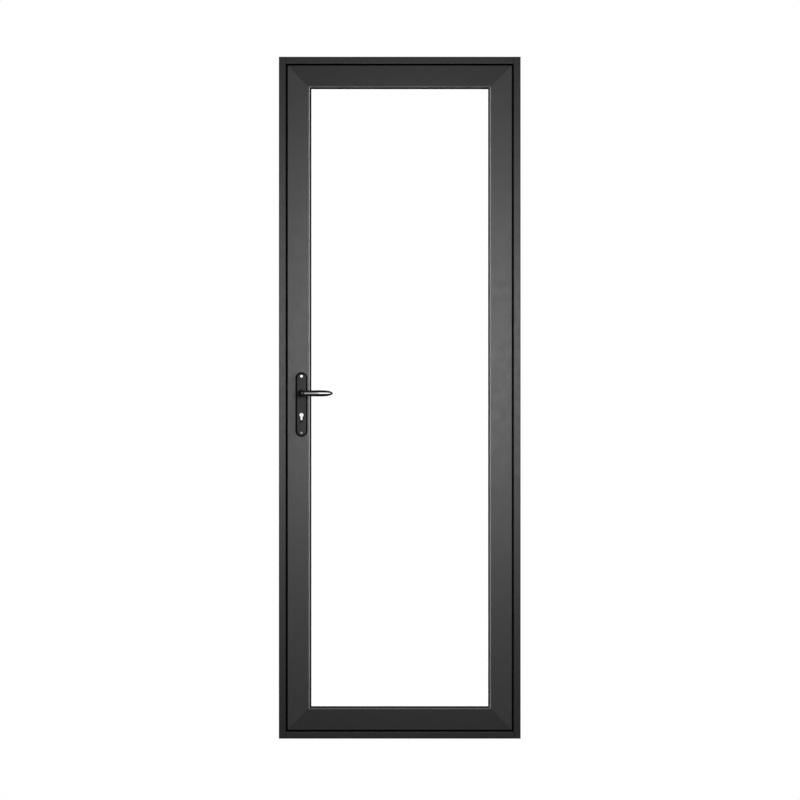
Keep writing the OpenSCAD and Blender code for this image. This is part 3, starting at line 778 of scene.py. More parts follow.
def arc(x: float, y: float, radius: float, start: float, end: float, steps: int = 6) -> Outline:
    """Gives points along an arc.

    Args:
        x: the centre's first coordinate.
        y: the centre's second coordinate.
        radius: the arc's radius.
        start: its first angle in degrees.
        end: its last angle in degrees.
        steps: pieces that it is cut into.

    Returns:
        The points.
    """
    angles = [math.radians(start + (end - start) * i / steps) for i in range(steps + 1)]
    return [(x + radius * math.cos(a), y + radius * math.sin(a)) for a in angles]


def finish_piece(
    piece: bpy.types.Object, finish: AnyFinish, body: str, replaced: Sequence[str] = ()
) -> bpy.types.Object:
    """Gives a piece its finish and hands it to the frame.

    Args:
        piece: the object.
        finish: what it is coated or made with.
        body: the CAD body that it rides on.
        replaced: the CAD nodes that it stands for.

    Returns:
        The same object.
    """
    piece.data.materials.clear()
    piece.data.materials.append(finish.material())
    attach(piece, body)
    if replaced:
        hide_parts(*replaced)
    LOG.info("%s: %d faces, rides on %s", piece.name, len(piece.data.polygons), body)
    return piece


def skin(node: str, finish: AnyFinish, body: str, edge: float, segments: int = 2) -> bpy.types.Object:
    """Replaces a CAD node with a copy whose edges are broken.

    Args:
        node: the CAD node.
        finish: what it is coated or made with.
        body: the CAD body that it rides on.
        edge: width of the broken edges in metres.
        segments: steps across them.

    Returns:
        The new piece.
    """
    piece = shade(round_off(copy_of(node, node + "_skin"), edge, segments))
    return finish_piece(piece, finish, body, [node])


def dress(node: str, finish: AnyFinish) -> None:
    """Gives a CAD node that keeps its own mesh a finish.

    Args:
        node: the CAD node.
        finish: the finish for all its slots.
    """
    for slot in frame["nodes"][node].material_slots:
        slot.material = finish.material()


# ---- fasteners, set by Geometry Nodes ----


@dataclass
class Fastener:
    """A countersunk screw with a hexagon socket.

    Attributes:
        head: radius of the head.
        shank: radius of the shank.
        length: whole length.
        socket: radius of the socket, across its corners.
        socket_depth: depth of the socket.
        rim: width of the broken edge on the head.
        sides: points in each ring.
    """

    head: float
    shank: float
    length: float
    socket: float
    socket_depth: float = 1.6 * MM
    rim: float = 0.25 * MM
    sides: int = 24

    def rings(self) -> list[list[Vector]]:
        """Lays out the rings of points from the socket's floor over the head to the shank's tip.

        Returns:
            The rings, each with the same number of points, with the head's face at height 0.
        """
        turns = [2 * math.pi * i / self.sides for i in range(self.sides)]

        def circle(radius: float, height: float) -> list[Vector]:
            """Gives a round ring.

            Args:
                radius: its radius.
                height: its height.

            Returns:
                Its points.
            """
            return [Vector((radius * math.cos(a), radius * math.sin(a), height)) for a in turns]

        def hexagon(radius: float, height: float) -> list[Vector]:
            """Gives a six-sided ring.

            Args:
                radius: its radius across the corners.
                height: its height.

            Returns:
                Its points.
            """
            side, half = math.pi / 3, math.pi / 6
            reach = [radius * math.cos(half) / math.cos(a % side - half) for a in turns]
            return [Vector((r * math.cos(a), r * math.sin(a), height)) for r, a in zip(reach, turns)]

        depth = self.head - self.shank
        return [
            hexagon(self.socket * 0.25, -self.socket_depth * 1.15),
            hexagon(self.socket * 0.94, -self.socket_depth),
            hexagon(self.socket * 0.94, -0.2 * MM),
            hexagon(self.socket * 1.06, 0.0),
            circle(self.head - self.rim, 0.0),
            circle(self.head, -self.rim),
            circle(self.shank, -depth),
            circle(self.shank, -self.length + self.shank * 0.4),
            circle(self.shank * 0.6, -self.length),
        ]

    def prototype(self) -> bpy.types.Object:
        """Builds the screw once, at the origin, with its head facing up.

        Returns:
            The object that the tree copies.
        """
        rings = self.rings()
        points = [point for ring in rings for point in ring]
        return shade(from_points("fastener_prototype", points, ring_faces(len(rings), self.sides)))


def end_copies(
    tree: Tree, given: bpy.types.Node, made: bpy.types.Node, copies: bpy.types.Node, output: str
) -> None:
    """Adds the end that the trees of copies share: it makes them real and gives them their finish.

    Args:
        tree: the group's tree.
        given: its input node.
        made: its output node.
        copies: the node that sets the copies.
        output: the name of the group's output.
    """
    real = tree.add("GeometryNodeRealizeInstances", {"Geometry": copies.outputs["Instances"]})
    coated = tree.add(
        "GeometryNodeSetMaterial",
        {"Geometry": real.outputs["Geometry"], "Material": given.outputs["Finish"]},
    )
    tree.tree.links.new(coated.outputs["Geometry"], made.inputs[output])


def fastener_tree() -> bpy.types.NodeTree:
    """Builds the tree that sets a fastener on every point, facing the way that the point says.

    Returns:
        The Geometry Nodes tree.
    """
    group, tree, given, made = make_group(
        "set_fasteners", "GeometryNodeTree",
        [("Points", GEOMETRY, None), ("Fastener", "NodeSocketObject", None), ("Size", FLOAT, 1.0),
         ("Finish", "NodeSocketMaterial", None)],
        [("Fasteners", GEOMETRY)],
    )
    if tree is None:
        return group
    shape = tree.add("GeometryNodeObjectInfo", {"Object": given.outputs["Fastener"]})
    facing = tree.add("GeometryNodeInputNamedAttribute", {"Name": "facing"}, data_type="FLOAT_VECTOR")
    turned = tree.add(
        "FunctionNodeAlignRotationToVector", {"Vector": facing.outputs["Attribute"]}, axis="Z"
    )
    spots = tree.add("GeometryNodeMeshToPoints", {"Mesh": given.outputs["Points"]})
    copies = tree.add(
        "GeometryNodeInstanceOnPoints",
        {
            "Points": spots.outputs["Points"],
            "Instance": shape.outputs["Geometry"],
            "Rotation": turned.outputs["Rotation"],
            "Scale": given.outputs["Size"],
        },
    )
    end_copies(tree, given, made, copies, "Fasteners")
    return group


def grow(piece: bpy.types.Object, group: bpy.types.NodeTree, values: dict[str, object]) -> bpy.types.Object:
    """Runs a Geometry Nodes tree on a piece and keeps the result as a plain mesh.

    Args:
        piece: the object that feeds the tree.
        group: the tree.
        values: its inputs by name.

    Returns:
        The same object.
    """
    sockets = {
        item.name: item.identifier
        for item in group.interface.items_tree
        if item.item_type == "SOCKET" and item.in_out == "INPUT"
    }
    modifier = piece.modifiers.new("grown", "NODES")
    modifier.node_group = group
    for name, value in values.items():
        modifier[sockets[name]] = value
    return settle(piece)


def set_fasteners(
    name: str, spots: Sequence[tuple[Vector, Way]], fastener: Fastener, finish: Finish, body: str,
    node: str,
) -> bpy.types.Object:
    """Replaces a CAD node of screws with detailed ones.

    Args:
        name: the new piece's name.
        spots: the middle of each head's face and the way it looks.
        fastener: the screw.
        finish: what it is plated with.
        body: the CAD body that they ride on.
        node: the CAD node that they stand for.

    Returns:
        The new piece.
    """
    mesh = bpy.data.meshes.new(name)
    mesh.from_pydata([tuple(place) for place, _ in spots], [], [])
    facing = mesh.attributes.new("facing", "FLOAT_VECTOR", "POINT")
    facing.data.foreach_set("vector", [v for _, way in spots for v in way.value])
    piece = new_object(name, mesh)
    prototype = fastener.prototype()
    grow(piece, fastener_tree(), {"Fastener": prototype, "Size": 1.0, "Finish": finish.material()})
    bpy.data.objects.remove(prototype)
    return finish_piece(shade(piece), finish, body, [node])


def face_spots(node: str, way: Way) -> list[tuple[Vector, Way]]:
    """Finds where the heads of a CAD node's screws are.

    Args:
        node: the CAD node.
        way: the way that the heads look.

    Returns:
        The middle of each head's face, and the way it looks.
    """
    spots = []
    for low, high in islands(node):
        middle = (low + high) / 2
        half = (high - low) / 2
        spots.append((middle + Vector([half[i] * way.value[i] for i in range(3)]), way))
    return spots


# ---- sub-assemblies ----


@dataclass
class FrameSet:
    """The outer frame: four sides of hollow shells, insulating strips, corner parts and the keep.

    Attributes:
        edge: width of the broken edges on the coated shells.
        plate_edge: width of the broken edges on the keep plate.
    """

    edge: float = 0.5 * MM
    plate_edge: float = 0.3 * MM

    def build(self) -> None:
        """Makes the frame's pieces."""
        for side in ("jamb_lock", "jamb_hinge", "head", "sill"):
            for face in ("front", "rear"):
                skin(f"frame_{side}_{face}", COAT, "frame", self.edge)
        dress("frame_strips", POLYAMIDE)
        dress("frame_corner_blocks", MILL_METAL)
        skin("keep_plate", LOCK_STEEL, "frame", self.plate_edge)
        skin("keep_housing", HOUSING_PLASTIC, "frame", self.plate_edge)
        corner = Fastener(4.2 * MM, 2.5 * MM, 44 * MM, 2.2 * MM)
        spots = []
        for low, high in islands("frame_corner_screws"):
            way = Way.LOCK_SIDE if low.x < 0 else Way.HINGE_SIDE
            middle = (low + high) / 2
            spots.append((Vector((low.x if low.x < 0 else high.x, middle.y, middle.z)), way))
        set_fasteners("corner_screw_set", spots, corner, SCREW_STEEL, "frame", "frame_corner_screws")
        keep = Fastener(4.4 * MM, 2.5 * MM, 10 * MM, 2.3 * MM)
        set_fasteners("keep_screw_set", face_spots("keep_screws", Way.HINGE_SIDE), keep, SCREW_STEEL,
                      "frame", "keep_screws")


@dataclass
class LeafSet:
    """The leaf: mitred hollow shells, insulating strips, corner cleats and glazing beads.

    Attributes:
        edge: width of the broken edges on the coated shells.
    """

    edge: float = 0.5 * MM

    def build(self) -> None:
        """Makes the leaf's metal pieces."""
        for side in ("stile_lock", "stile_hinge", "rail_top", "rail_bottom"):
            for face in ("front", "rear"):
                skin(f"leaf_{side}_{face}", COAT, "leaf", self.edge)
        for node in ("beads_horizontal", "beads_vertical"):
            skin(node, COAT, "leaf", self.edge)
        dress("leaf_strips", POLYAMIDE)
        dress("leaf_corner_cleats", MILL_METAL)


@dataclass
class GlazingSet:
    """The double glazing: two panes with ground edges, a spacer whose perforations are near-black cards of
    painted shade, the edge seal and blocks.

    Attributes:
        pane_edge: width of the panes' ground edges.
        spacer_edge: chamfer on the spacer's corners.
        spacer_height: how far the spacer stands in from its outer edge.
        slot_pitch: distance between the spacer's perforations.
        slot_size: length, width and height of a perforation.
    """

    pane_edge: float = 0.8 * MM
    spacer_edge: float = 1.2 * MM
    spacer_height: float = 6.5 * MM
    slot_pitch: float = 6.0 * MM
    slot_size: tuple[float, float, float] = (2.0 * MM, 0.5 * MM, 0.04 * MM)

    def spacer(self) -> None:
        """Makes the spacer bar, a chamfered tube run round the glazing."""
        low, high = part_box("glass_spacer")
        height, cut = self.spacer_height, self.spacer_edge
        outline = [
            (0.0, low.y + cut), (cut, low.y), (height, low.y),
            (height, high.y), (cut, high.y), (0.0, high.y - cut),
        ]
        piece = shade(frame_sweep("spacer_bar", outline, *islands("glass_spacer")[0]))
        finish_piece(piece, SPACER_METAL, "leaf", ["glass_spacer"])
        self.perforations(low, high)

    def perforations(self, low: Vector, high: Vector) -> None:
        """Sets a row of fine slots along the spacer's inner face, as thin near-black cards: painted shade
        inside the perforations.

        Args:
            low: the spacer's lowest corner.
            high: its highest corner.
        """
        inset = self.spacer_height + self.slot_size[2] / 2
        points, edges = [], []
        for depth in (low.y + (high.y - low.y) * share for share in (0.3, 0.7)):
            start = len(points)
            for x, z in ((low.x, low.z), (high.x, low.z), (high.x, high.z), (low.x, high.z)):
                points.append((x + math.copysign(inset, -x), depth, z + (inset if z == low.z else -inset)))
            edges += [(start + i, start + (i + 1) % 4) for i in range(4)]
        mesh = bpy.data.meshes.new("spacer_slots")
        mesh.from_pydata(points, edges, [])
        piece = new_object("spacer_slots", mesh)
        grow(piece, slot_tree(), {"Pitch": self.slot_pitch, "Slot": self.slot_size,
                                  "Finish": SPACER_HOLE_SHADE.material()})
        finish_piece(piece, SPACER_HOLE_SHADE, "leaf")

    def build(self) -> None:
        """Makes the glazing's pieces."""
        for node in ("pane_front", "pane_rear"):
            skin(node, GLASS, "leaf", self.pane_edge, 1)
        self.spacer()
        dress("glass_sealant", RUBBER)
        skin("glazing_packers", BLOCK_PLASTIC, "leaf", 0.5 * MM)


def slot_tree() -> bpy.types.NodeTree:
    """Builds the tree that sets small slots at an even pitch along a path.

    Returns:
        The Geometry Nodes tree.
    """
    group, tree, given, made = make_group(
        "slots_along_path", "GeometryNodeTree",
        [("Path", GEOMETRY, None), ("Pitch", FLOAT, 0.006), ("Slot", VECTOR, None),
         ("Finish", "NodeSocketMaterial", None)],
        [("Slots", GEOMETRY)],
    )
    if tree is None:
        return group
    path = tree.add("GeometryNodeMeshToCurve", {"Mesh": given.outputs["Path"]})
    spots = tree.add("GeometryNodeCurveToPoints", {"Curve": path.outputs["Curve"]}, mode="LENGTH")
    tree.tree.links.new(given.outputs["Pitch"], spots.inputs["Length"])
    slot = tree.add("GeometryNodeMeshCube", {"Size": given.outputs["Slot"]})
    along = tree.add("FunctionNodeAlignRotationToVector", {"Vector": spots.outputs["Tangent"]}, axis="X")
    copies = tree.add(
        "GeometryNodeInstanceOnPoints",
        {
            "Points": spots.outputs["Points"],
            "Instance": slot.outputs["Mesh"],
            "Rotation": along.outputs["Rotation"],
        },
    )
    end_copies(tree, given, made, copies, "Slots")
    return group


@dataclass
class SealSet:
    """The seals: shaped gaskets run round the glazing and round the leaf.

    Attributes:
        lip: radius of the rounded sight lip beside the glass.
        bulb_steps: steps round a bulb.
        front_sight: how far in the front glazing gasket reaches.
        front_foot: width of its foot.
        foot_depth: how far its foot lies behind its face.
        rear_sight: how far in the rear glazing gasket reaches.
        bulb_width: width of the closing gasket.
        bulb_foot: thickness of the closing gasket's foot.
        fin_out: how far the centre gasket stands off the leaf's edge.
    """

    lip: float = 1.3 * MM
    bulb_steps: int = 10
    front_sight: float = 11.5 * MM
    front_foot: float = 7.0 * MM
    foot_depth: float = 2.0 * MM
    rear_sight: float = 10.5 * MM
    bulb_width: float = 5.0 * MM
    bulb_foot: float = 1.2 * MM
    fin_out: float = 3.5 * MM

    @staticmethod
    def run(name: str, node: str, outline: Outline) -> None:
        """Runs a seal round the box of the CAD node that it stands for.

        Args:
            name: the new piece's name.
            node: the CAD node.
            outline: closed outline of (inset, depth along Y) in metres.
        """
        low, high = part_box(node)
        finish_piece(shade(frame_sweep(name, outline, low, high), 50), RUBBER, "leaf", [node])

    def glazing_front(self) -> None:
        """Makes the front glazing gasket, a foot behind the leg and a rounded lip beside it."""
        low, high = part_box("glazing_gasket_front")
        foot, sight = low.y + self.foot_depth, self.front_sight
        lip = arc(sight - 2.0 * MM, low.y + self.lip, self.lip, 180, 330, self.bulb_steps)
        outline = [
            (0.0, foot), (self.front_foot, foot), *lip,
            (sight, high.y - 0.4 * MM), (sight - 0.4 * MM, high.y), (0.0, high.y),
        ]
        self.run("front_glazing_gasket", "glazing_gasket_front", outline)

    def glazing_rear(self) -> None:
        """Makes the rear glazing gasket with its rounded sight edge."""
        low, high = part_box("glazing_gasket_rear")
        sight = self.rear_sight
        round_edge = arc(sight - self.lip, high.y - self.lip, self.lip, 0, 90, self.bulb_steps)
        outline = [
            (0.0, low.y), (sight - 0.3 * MM, low.y), (sight, low.y + 0.3 * MM), *round_edge, (0.0, high.y),
        ]
        self.run("rear_glazing_gasket", "glazing_gasket_rear", outline)

    def rebate(self) -> None:
        """Makes the closing gasket: a flat foot on the flange and a bulb that meets the frame."""
        low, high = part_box("rebate_gasket")
        width, foot = self.bulb_width, high.y - self.bulb_foot
        radius = (high.y - low.y - self.bulb_foot) / 2
        bulb = arc(width / 2, low.y + radius, radius, 150, 390, 2 * self.bulb_steps)
        outline = [(0.0, high.y), (0.0, foot), *bulb, (width, foot), (width, high.y)]
        self.run("closing_gasket", "rebate_gasket", outline)

    def centre(self) -> None:
        """Makes the centre gasket: a foot on the leaf's edge and two fins."""
        low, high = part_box("centre_gasket")
        out, step = self.fin_out, (high.y - low.y) / 4
        outline = [
            (out, low.y), (out - 1.0 * MM, low.y), (0.3 * MM, low.y + step * 0.2), (0.0, low.y + step * 0.6),
            (out - 1.4 * MM, low.y + step), (out - 1.4 * MM, high.y - step), (0.0, high.y - step * 0.6),
            (0.3 * MM, high.y - step * 0.2), (out - 1.0 * MM, high.y), (out, high.y),
        ]
        self.run("centre_gasket_fins", "centre_gasket", outline)

    def build(self) -> None:
        """Makes the four seals."""
        self.glazing_front()
        self.glazing_rear()
        self.rebate()
        self.centre()


@dataclass
class HingeSet:
    """The hinges: two wings each, a pin with domed caps, and countersunk screws.

    Attributes:
        edge: width of the broken edges.
        cap_height: height of the caps on the pin's ends.
    """

    edge: float = 0.6 * MM
    cap_height: float = 2.2 * MM

    def caps(self) -> None:
        """Makes the domed caps that close the barrels."""
        for number, (low, high) in enumerate(islands("hinge_pins"), 1):
            middle = (low + high) / 2
            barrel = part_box(f"hinge_frame_half_{number}")
            radius = barrel[1].y - middle.y
            height = self.cap_height
            outline = [(radius * 0.9, 0.0), (radius * 0.98, 0.3 * MM), (radius * 0.98, height * 0.45),
                       (radius * 0.9, height * 0.72), (radius * 0.7, height * 0.9), (radius * 0.3, height)]
            for way, level in ((Way.UP, high.z), (Way.DOWN, low.z)):
                name = f"hinge_cap_{number}_{way.name.lower()}"
                cap = lathe(name, outline, Vector((middle.x, middle.y, level)), way)
                finish_piece(shade(cap, 50), HINGE_COAT, "frame")

    def build(self) -> None:
        """Makes the hinges' pieces."""
        for number in (1, 2, 3):
            skin(f"hinge_frame_half_{number}", HINGE_COAT, "frame", self.edge)
            skin(f"hinge_leaf_half_{number}", HINGE_COAT, "leaf", self.edge)
        dress("hinge_pins", LOCK_STEEL)
        self.caps()
        screw = Fastener(4.2 * MM, 2.4 * MM, 12 * MM, 2.2 * MM)
        set_fasteners("hinge_leaf_screw_set", face_spots("hinge_leaf_screws", Way.REAR), screw, SCREW_STEEL,
                      "leaf", "hinge_leaf_screws")
        set_fasteners("hinge_frame_screw_set", face_spots("hinge_frame_screws", Way.REAR), screw,
                      SCREW_STEEL, "frame", "hinge_frame_screws")


@dataclass
class LockSet:
    """The lock: case, face plate, bolts, the profile cylinder and its collars.

    Attributes:
        edge: width of the broken edges.
        collar_out: how far a collar laps over the plate round the cylinder.
        collar_t: how far a collar stands proud of the plate.
        lip_t: how far its inner lip stands proud of the cylinder's end.
        foot_r: half the width of the cylinder's foot.
        bore_r: radius of the collar's round opening.
        slot_r: half the width of the opening's foot.
        slot_drop: how far the foot reaches below the middle of the opening.
    """

    edge: float = 0.3 * MM
    collar_out: float = 1.2 * MM
    collar_t: float = 1.3 * MM
    lip_t: float = 0.3 * MM
    foot_r: float = 5.0 * MM
    bore_r: float = 6.55 * MM
    slot_r: float = 2.9 * MM
    slot_drop: float = 15.8 * MM

    def build(self) -> None:
        """Makes the lock's pieces."""
        dress("lock_case", LOCK_STEEL)
        dress("spindle", LOCK_STEEL)
        dress("follower", LOCK_STEEL)
        dress("cylinder_cam", NICKEL)
        dress("lock_screws", SCREW_STEEL)
        skin("lock_face_plate", LOCK_STEEL, "leaf", self.edge)
        skin("latch_bolt", BOLT_STEEL, "latch", 0.6 * MM, 3)
        skin("dead_bolt", BOLT_STEEL, "bolt", 0.8 * MM, 3)
        skin("cylinder_body", NICKEL, "leaf", self.edge)
        skin("cylinder_plugs", NICKEL, "plug", self.edge)
        self.collar("front")
        self.collar("rear")

    def collar(self, face: str) -> None:
        """Makes the black collar that frames one end of the cylinder in the handle plate.

        Args:
            face: front or rear.
        """
        low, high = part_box("cylinder_body")
        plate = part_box(f"handle_plate_{face}")
        toward = -1.0 if face == "front" else 1.0
        level = plate[0].y if face == "front" else plate[1].y
        head = (high.x - low.x) / 2
        middle = Vector(((low.x + high.x) / 2, 0.0, high.z - head))
        drop = middle.z - low.z
        outer = self.keyhole(
            head + self.collar_out, self.foot_r + self.collar_out, drop + self.collar_out
        )
        inner = self.keyhole(self.bore_r, self.slot_r, self.slot_drop)
        end = low.y if face == "front" else high.y
        tops = (level + toward * 0.02 * MM, level + toward * self.collar_t, end + toward * self.lip_t)
        rings = [
            (outer, tops[0], 1.0), (outer, tops[1] - toward * 0.4 * MM, 1.0), (outer, tops[1], 0.96),
            (inner, tops[2], 1.08), (inner, tops[2] - toward * 0.1 * MM, 1.02),
            (inner, end + toward * 0.02 * MM, 1.0),
        ]
        points = [
            (middle.x + x * grow_by, depth, middle.z + z * grow_by)
            for outline, depth, grow_by in rings for x, z in outline
        ]
        faces = ring_faces(len(rings), len(outer), closed=True)
        piece = shade(from_points(f"cylinder_collar_{face}", points, faces), 40)
        finish_piece(piece, COLLAR_BLACK, "leaf")

    @staticmethod
    def keyhole(head: float, foot: float, drop: float, steps: int = 24) -> Outline:
        """Draws a profile cylinder's outline: a round head over a narrower foot.

        Args:
            head: radius of the head.
            foot: radius of the foot.
            drop: how far the foot's end is below the middle of the head.
            steps: points on each arc.

        Returns:
            The outline round the middle of the head, as (x, z).
        """
        join = math.degrees(math.asin(foot / head))
        top = arc(0.0, 0.0, head, join - 90.0, 270.0 - join, steps)
        return top + arc(0.0, foot - drop, foot, 180.0, 360.0, steps)


@dataclass
class Lever:
    """One lever: a turned neck and a lens-shaped grip.

    Attributes:
        node: the CAD node that it stands for.
        way: the way that it stands off the leaf.
        stations: (distance from the axis, height, thickness) along the grip, in millimetres.
        rings: sections along the grip.
        sides: points round a section.
        cap_steps: sections round the grip's tip.
        cap_turn: the angles in degrees where the tip's rounding starts and ends.
        neck_r: radius of the neck.
        dome_r: radius of the neck's domed face.
        root_out: how far the neck starts from the leaf.
        grip_back: how far the grip's middle plane lies behind the neck's face.
    """

    node: str
    way: Way
    stations: tuple[tuple[float, float, float], ...] = (
        (2.0, 15.6, 9.0),
        (14.0, 18.2, 10.6),
        (32.0, 19.8, 12.2),
        (56.0, 20.6, 13.2),
        (70.0, 20.2, 13.0),
        (80.0, 18.8, 12.4),
        (87.5, 16.5, 11.2),
        (93.0, 13.6, 9.8),
        (97.0, 10.0, 8.0),
    )
    rings: int = 56
    sides: int = 40
    cap_steps: int = 7
    cap_turn: tuple[float, float] = (45.0, 87.0)
    neck_r: float = 10.8 * MM
    dome_r: float = 24.6 * MM
    root_out: float = 9.5 * MM
    grip_back: float = 6.9 * MM

    def sizes_at(self, distance: float) -> tuple[float, float]:
        """Reads the grip's height and thickness at a distance, on a smooth curve through the stations.

        Args:
            distance: millimetres from the axis.

        Returns:
            Height and thickness in millimetres.
        """
        last = len(self.stations) - 2
        i = max(0, min(last, sum(s[0] <= distance for s in self.stations) - 1))
        around = [self.stations[max(0, min(last + 1, i + k))] for k in (-1, 0, 1, 2)]
        t = (distance - around[1][0]) / (around[2][0] - around[1][0])
        values = []
        for k in (1, 2):
            p0, p1, p2, p3 = (s[k] for s in around)
            span = around[2][0] - around[1][0]
            m1 = (p2 - p0) / max(around[2][0] - around[0][0], 1e-6) * span
            m2 = (p3 - p1) / max(around[3][0] - around[1][0], 1e-6) * span
            values.append(
                (2 * t**3 - 3 * t**2 + 1) * p1 + (t**3 - 2 * t**2 + t) * m1
                + (-2 * t**3 + 3 * t**2) * p2 + (t**3 - t**2) * m2
            )
        return values[0], values[1]

    def section(
        self, centre: tuple[float, float, float], sizes: tuple[float, float], share: float = 1.0
    ) -> list[tuple[float, float, float]]:
        """Gives one elliptical section of the grip.

        Args:
            centre: its middle in metres.
            sizes: the full height and thickness in millimetres.
            share: how much of them is left.

        Returns:
            Its points.
        """
        x, y, z = centre
        turns = [2 * math.pi * side / self.sides for side in range(self.sides)]
        return [
            (x, y + math.cos(a) * sizes[1] / 2 * share * MM, z + math.sin(a) * sizes[0] / 2 * share * MM)
            for a in turns
        ]

    def grip(self, axis: Vector, middle: float, tip: float) -> bpy.types.Object:
        """Lofts the grip.

        Args:
            axis: a point on the lever's axis.
            middle: the grip's middle plane along Y.
            tip: where its tip is along X.

        Returns:
            The grip's object.
        """
        first, last = self.stations[0][0], self.stations[-1][0]
        reach = (tip - axis.x) / MM
        points = []
        for ring in range(self.rings):
            distance = first + (last - first) * (ring / (self.rings - 1))
            centre = (axis.x + distance * MM, middle, axis.z)
            points += self.section(centre, self.sizes_at(distance))
        start, end = (math.radians(angle) for angle in self.cap_turn)
        span = (reach - last) / (1 - math.sin(start))
        for cap in range(1, self.cap_steps + 1):
            turn = start + (end - start) * cap / self.cap_steps
            distance = last + span * (math.sin(turn) - math.sin(start))
            centre = (axis.x + distance * MM, middle, axis.z)
            points += self.section(centre, self.sizes_at(last), math.cos(turn) / math.cos(start))
        faces = ring_faces(self.rings + self.cap_steps, self.sides)
        return from_points(self.node + "_grip", points, faces)

    def neck(self, axis: Vector, root: float, out: float) -> bpy.types.Object:
        """Turns the neck, waisted in its middle and domed at its face.

        Args:
            axis: a point on the lever's axis.
            root: where the neck starts along Y.
            out: how far it stands from there.

        Returns:
            The neck's object.
        """
        radius, dome = self.neck_r, self.dome_r
        outline = [
            (radius - 1.0 * MM, 0.0), (radius - 0.6 * MM, 0.4 * MM), (radius - 0.6 * MM, 2.5 * MM),
            (radius - 1.6 * MM, 5.0 * MM), (radius - 2.0 * MM, out * 0.35), (radius - 1.5 * MM, out * 0.52),
            (radius - 0.3 * MM, out * 0.66), (radius, out * 0.74), (radius, out - 3.4 * MM),
            (radius - 0.12 * MM, out - 3.0 * MM), (radius - 0.45 * MM, out - 2.6 * MM),
        ]
        for reach in (9.7, 9.0, 8.0, 7.0, 6.0, 5.0, 4.0, 3.0, 2.0, 1.0, 0.4):
            outline.append((reach * MM, out - dome + math.sqrt(dome**2 - (reach * MM) ** 2)))
        return lathe(self.node + "_neck", outline, Vector((axis.x, root, axis.z)), self.way, 64)

    def build(self) -> None:
        """Makes the lever as two pieces of one casting."""
        low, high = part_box(self.node)
        axis = Vector((low.x + self.neck_r, 0.0, (low.z + high.z) / 2))
        toward = self.way.value[1]
        face = low.y if toward < 0 else high.y
        leaf_face = high.y if toward < 0 else low.y
        root = leaf_face + toward * self.root_out
        middle = face - toward * self.grip_back
        neck = shade(self.neck(axis, root, abs(face - root)), 60)
        finish_piece(neck, LEVER_SATIN, "handle", [self.node])
        grip = shade(self.grip(axis, middle, high.x), 70)
        finish_piece(grip, LEVER_BLACK, "handle")


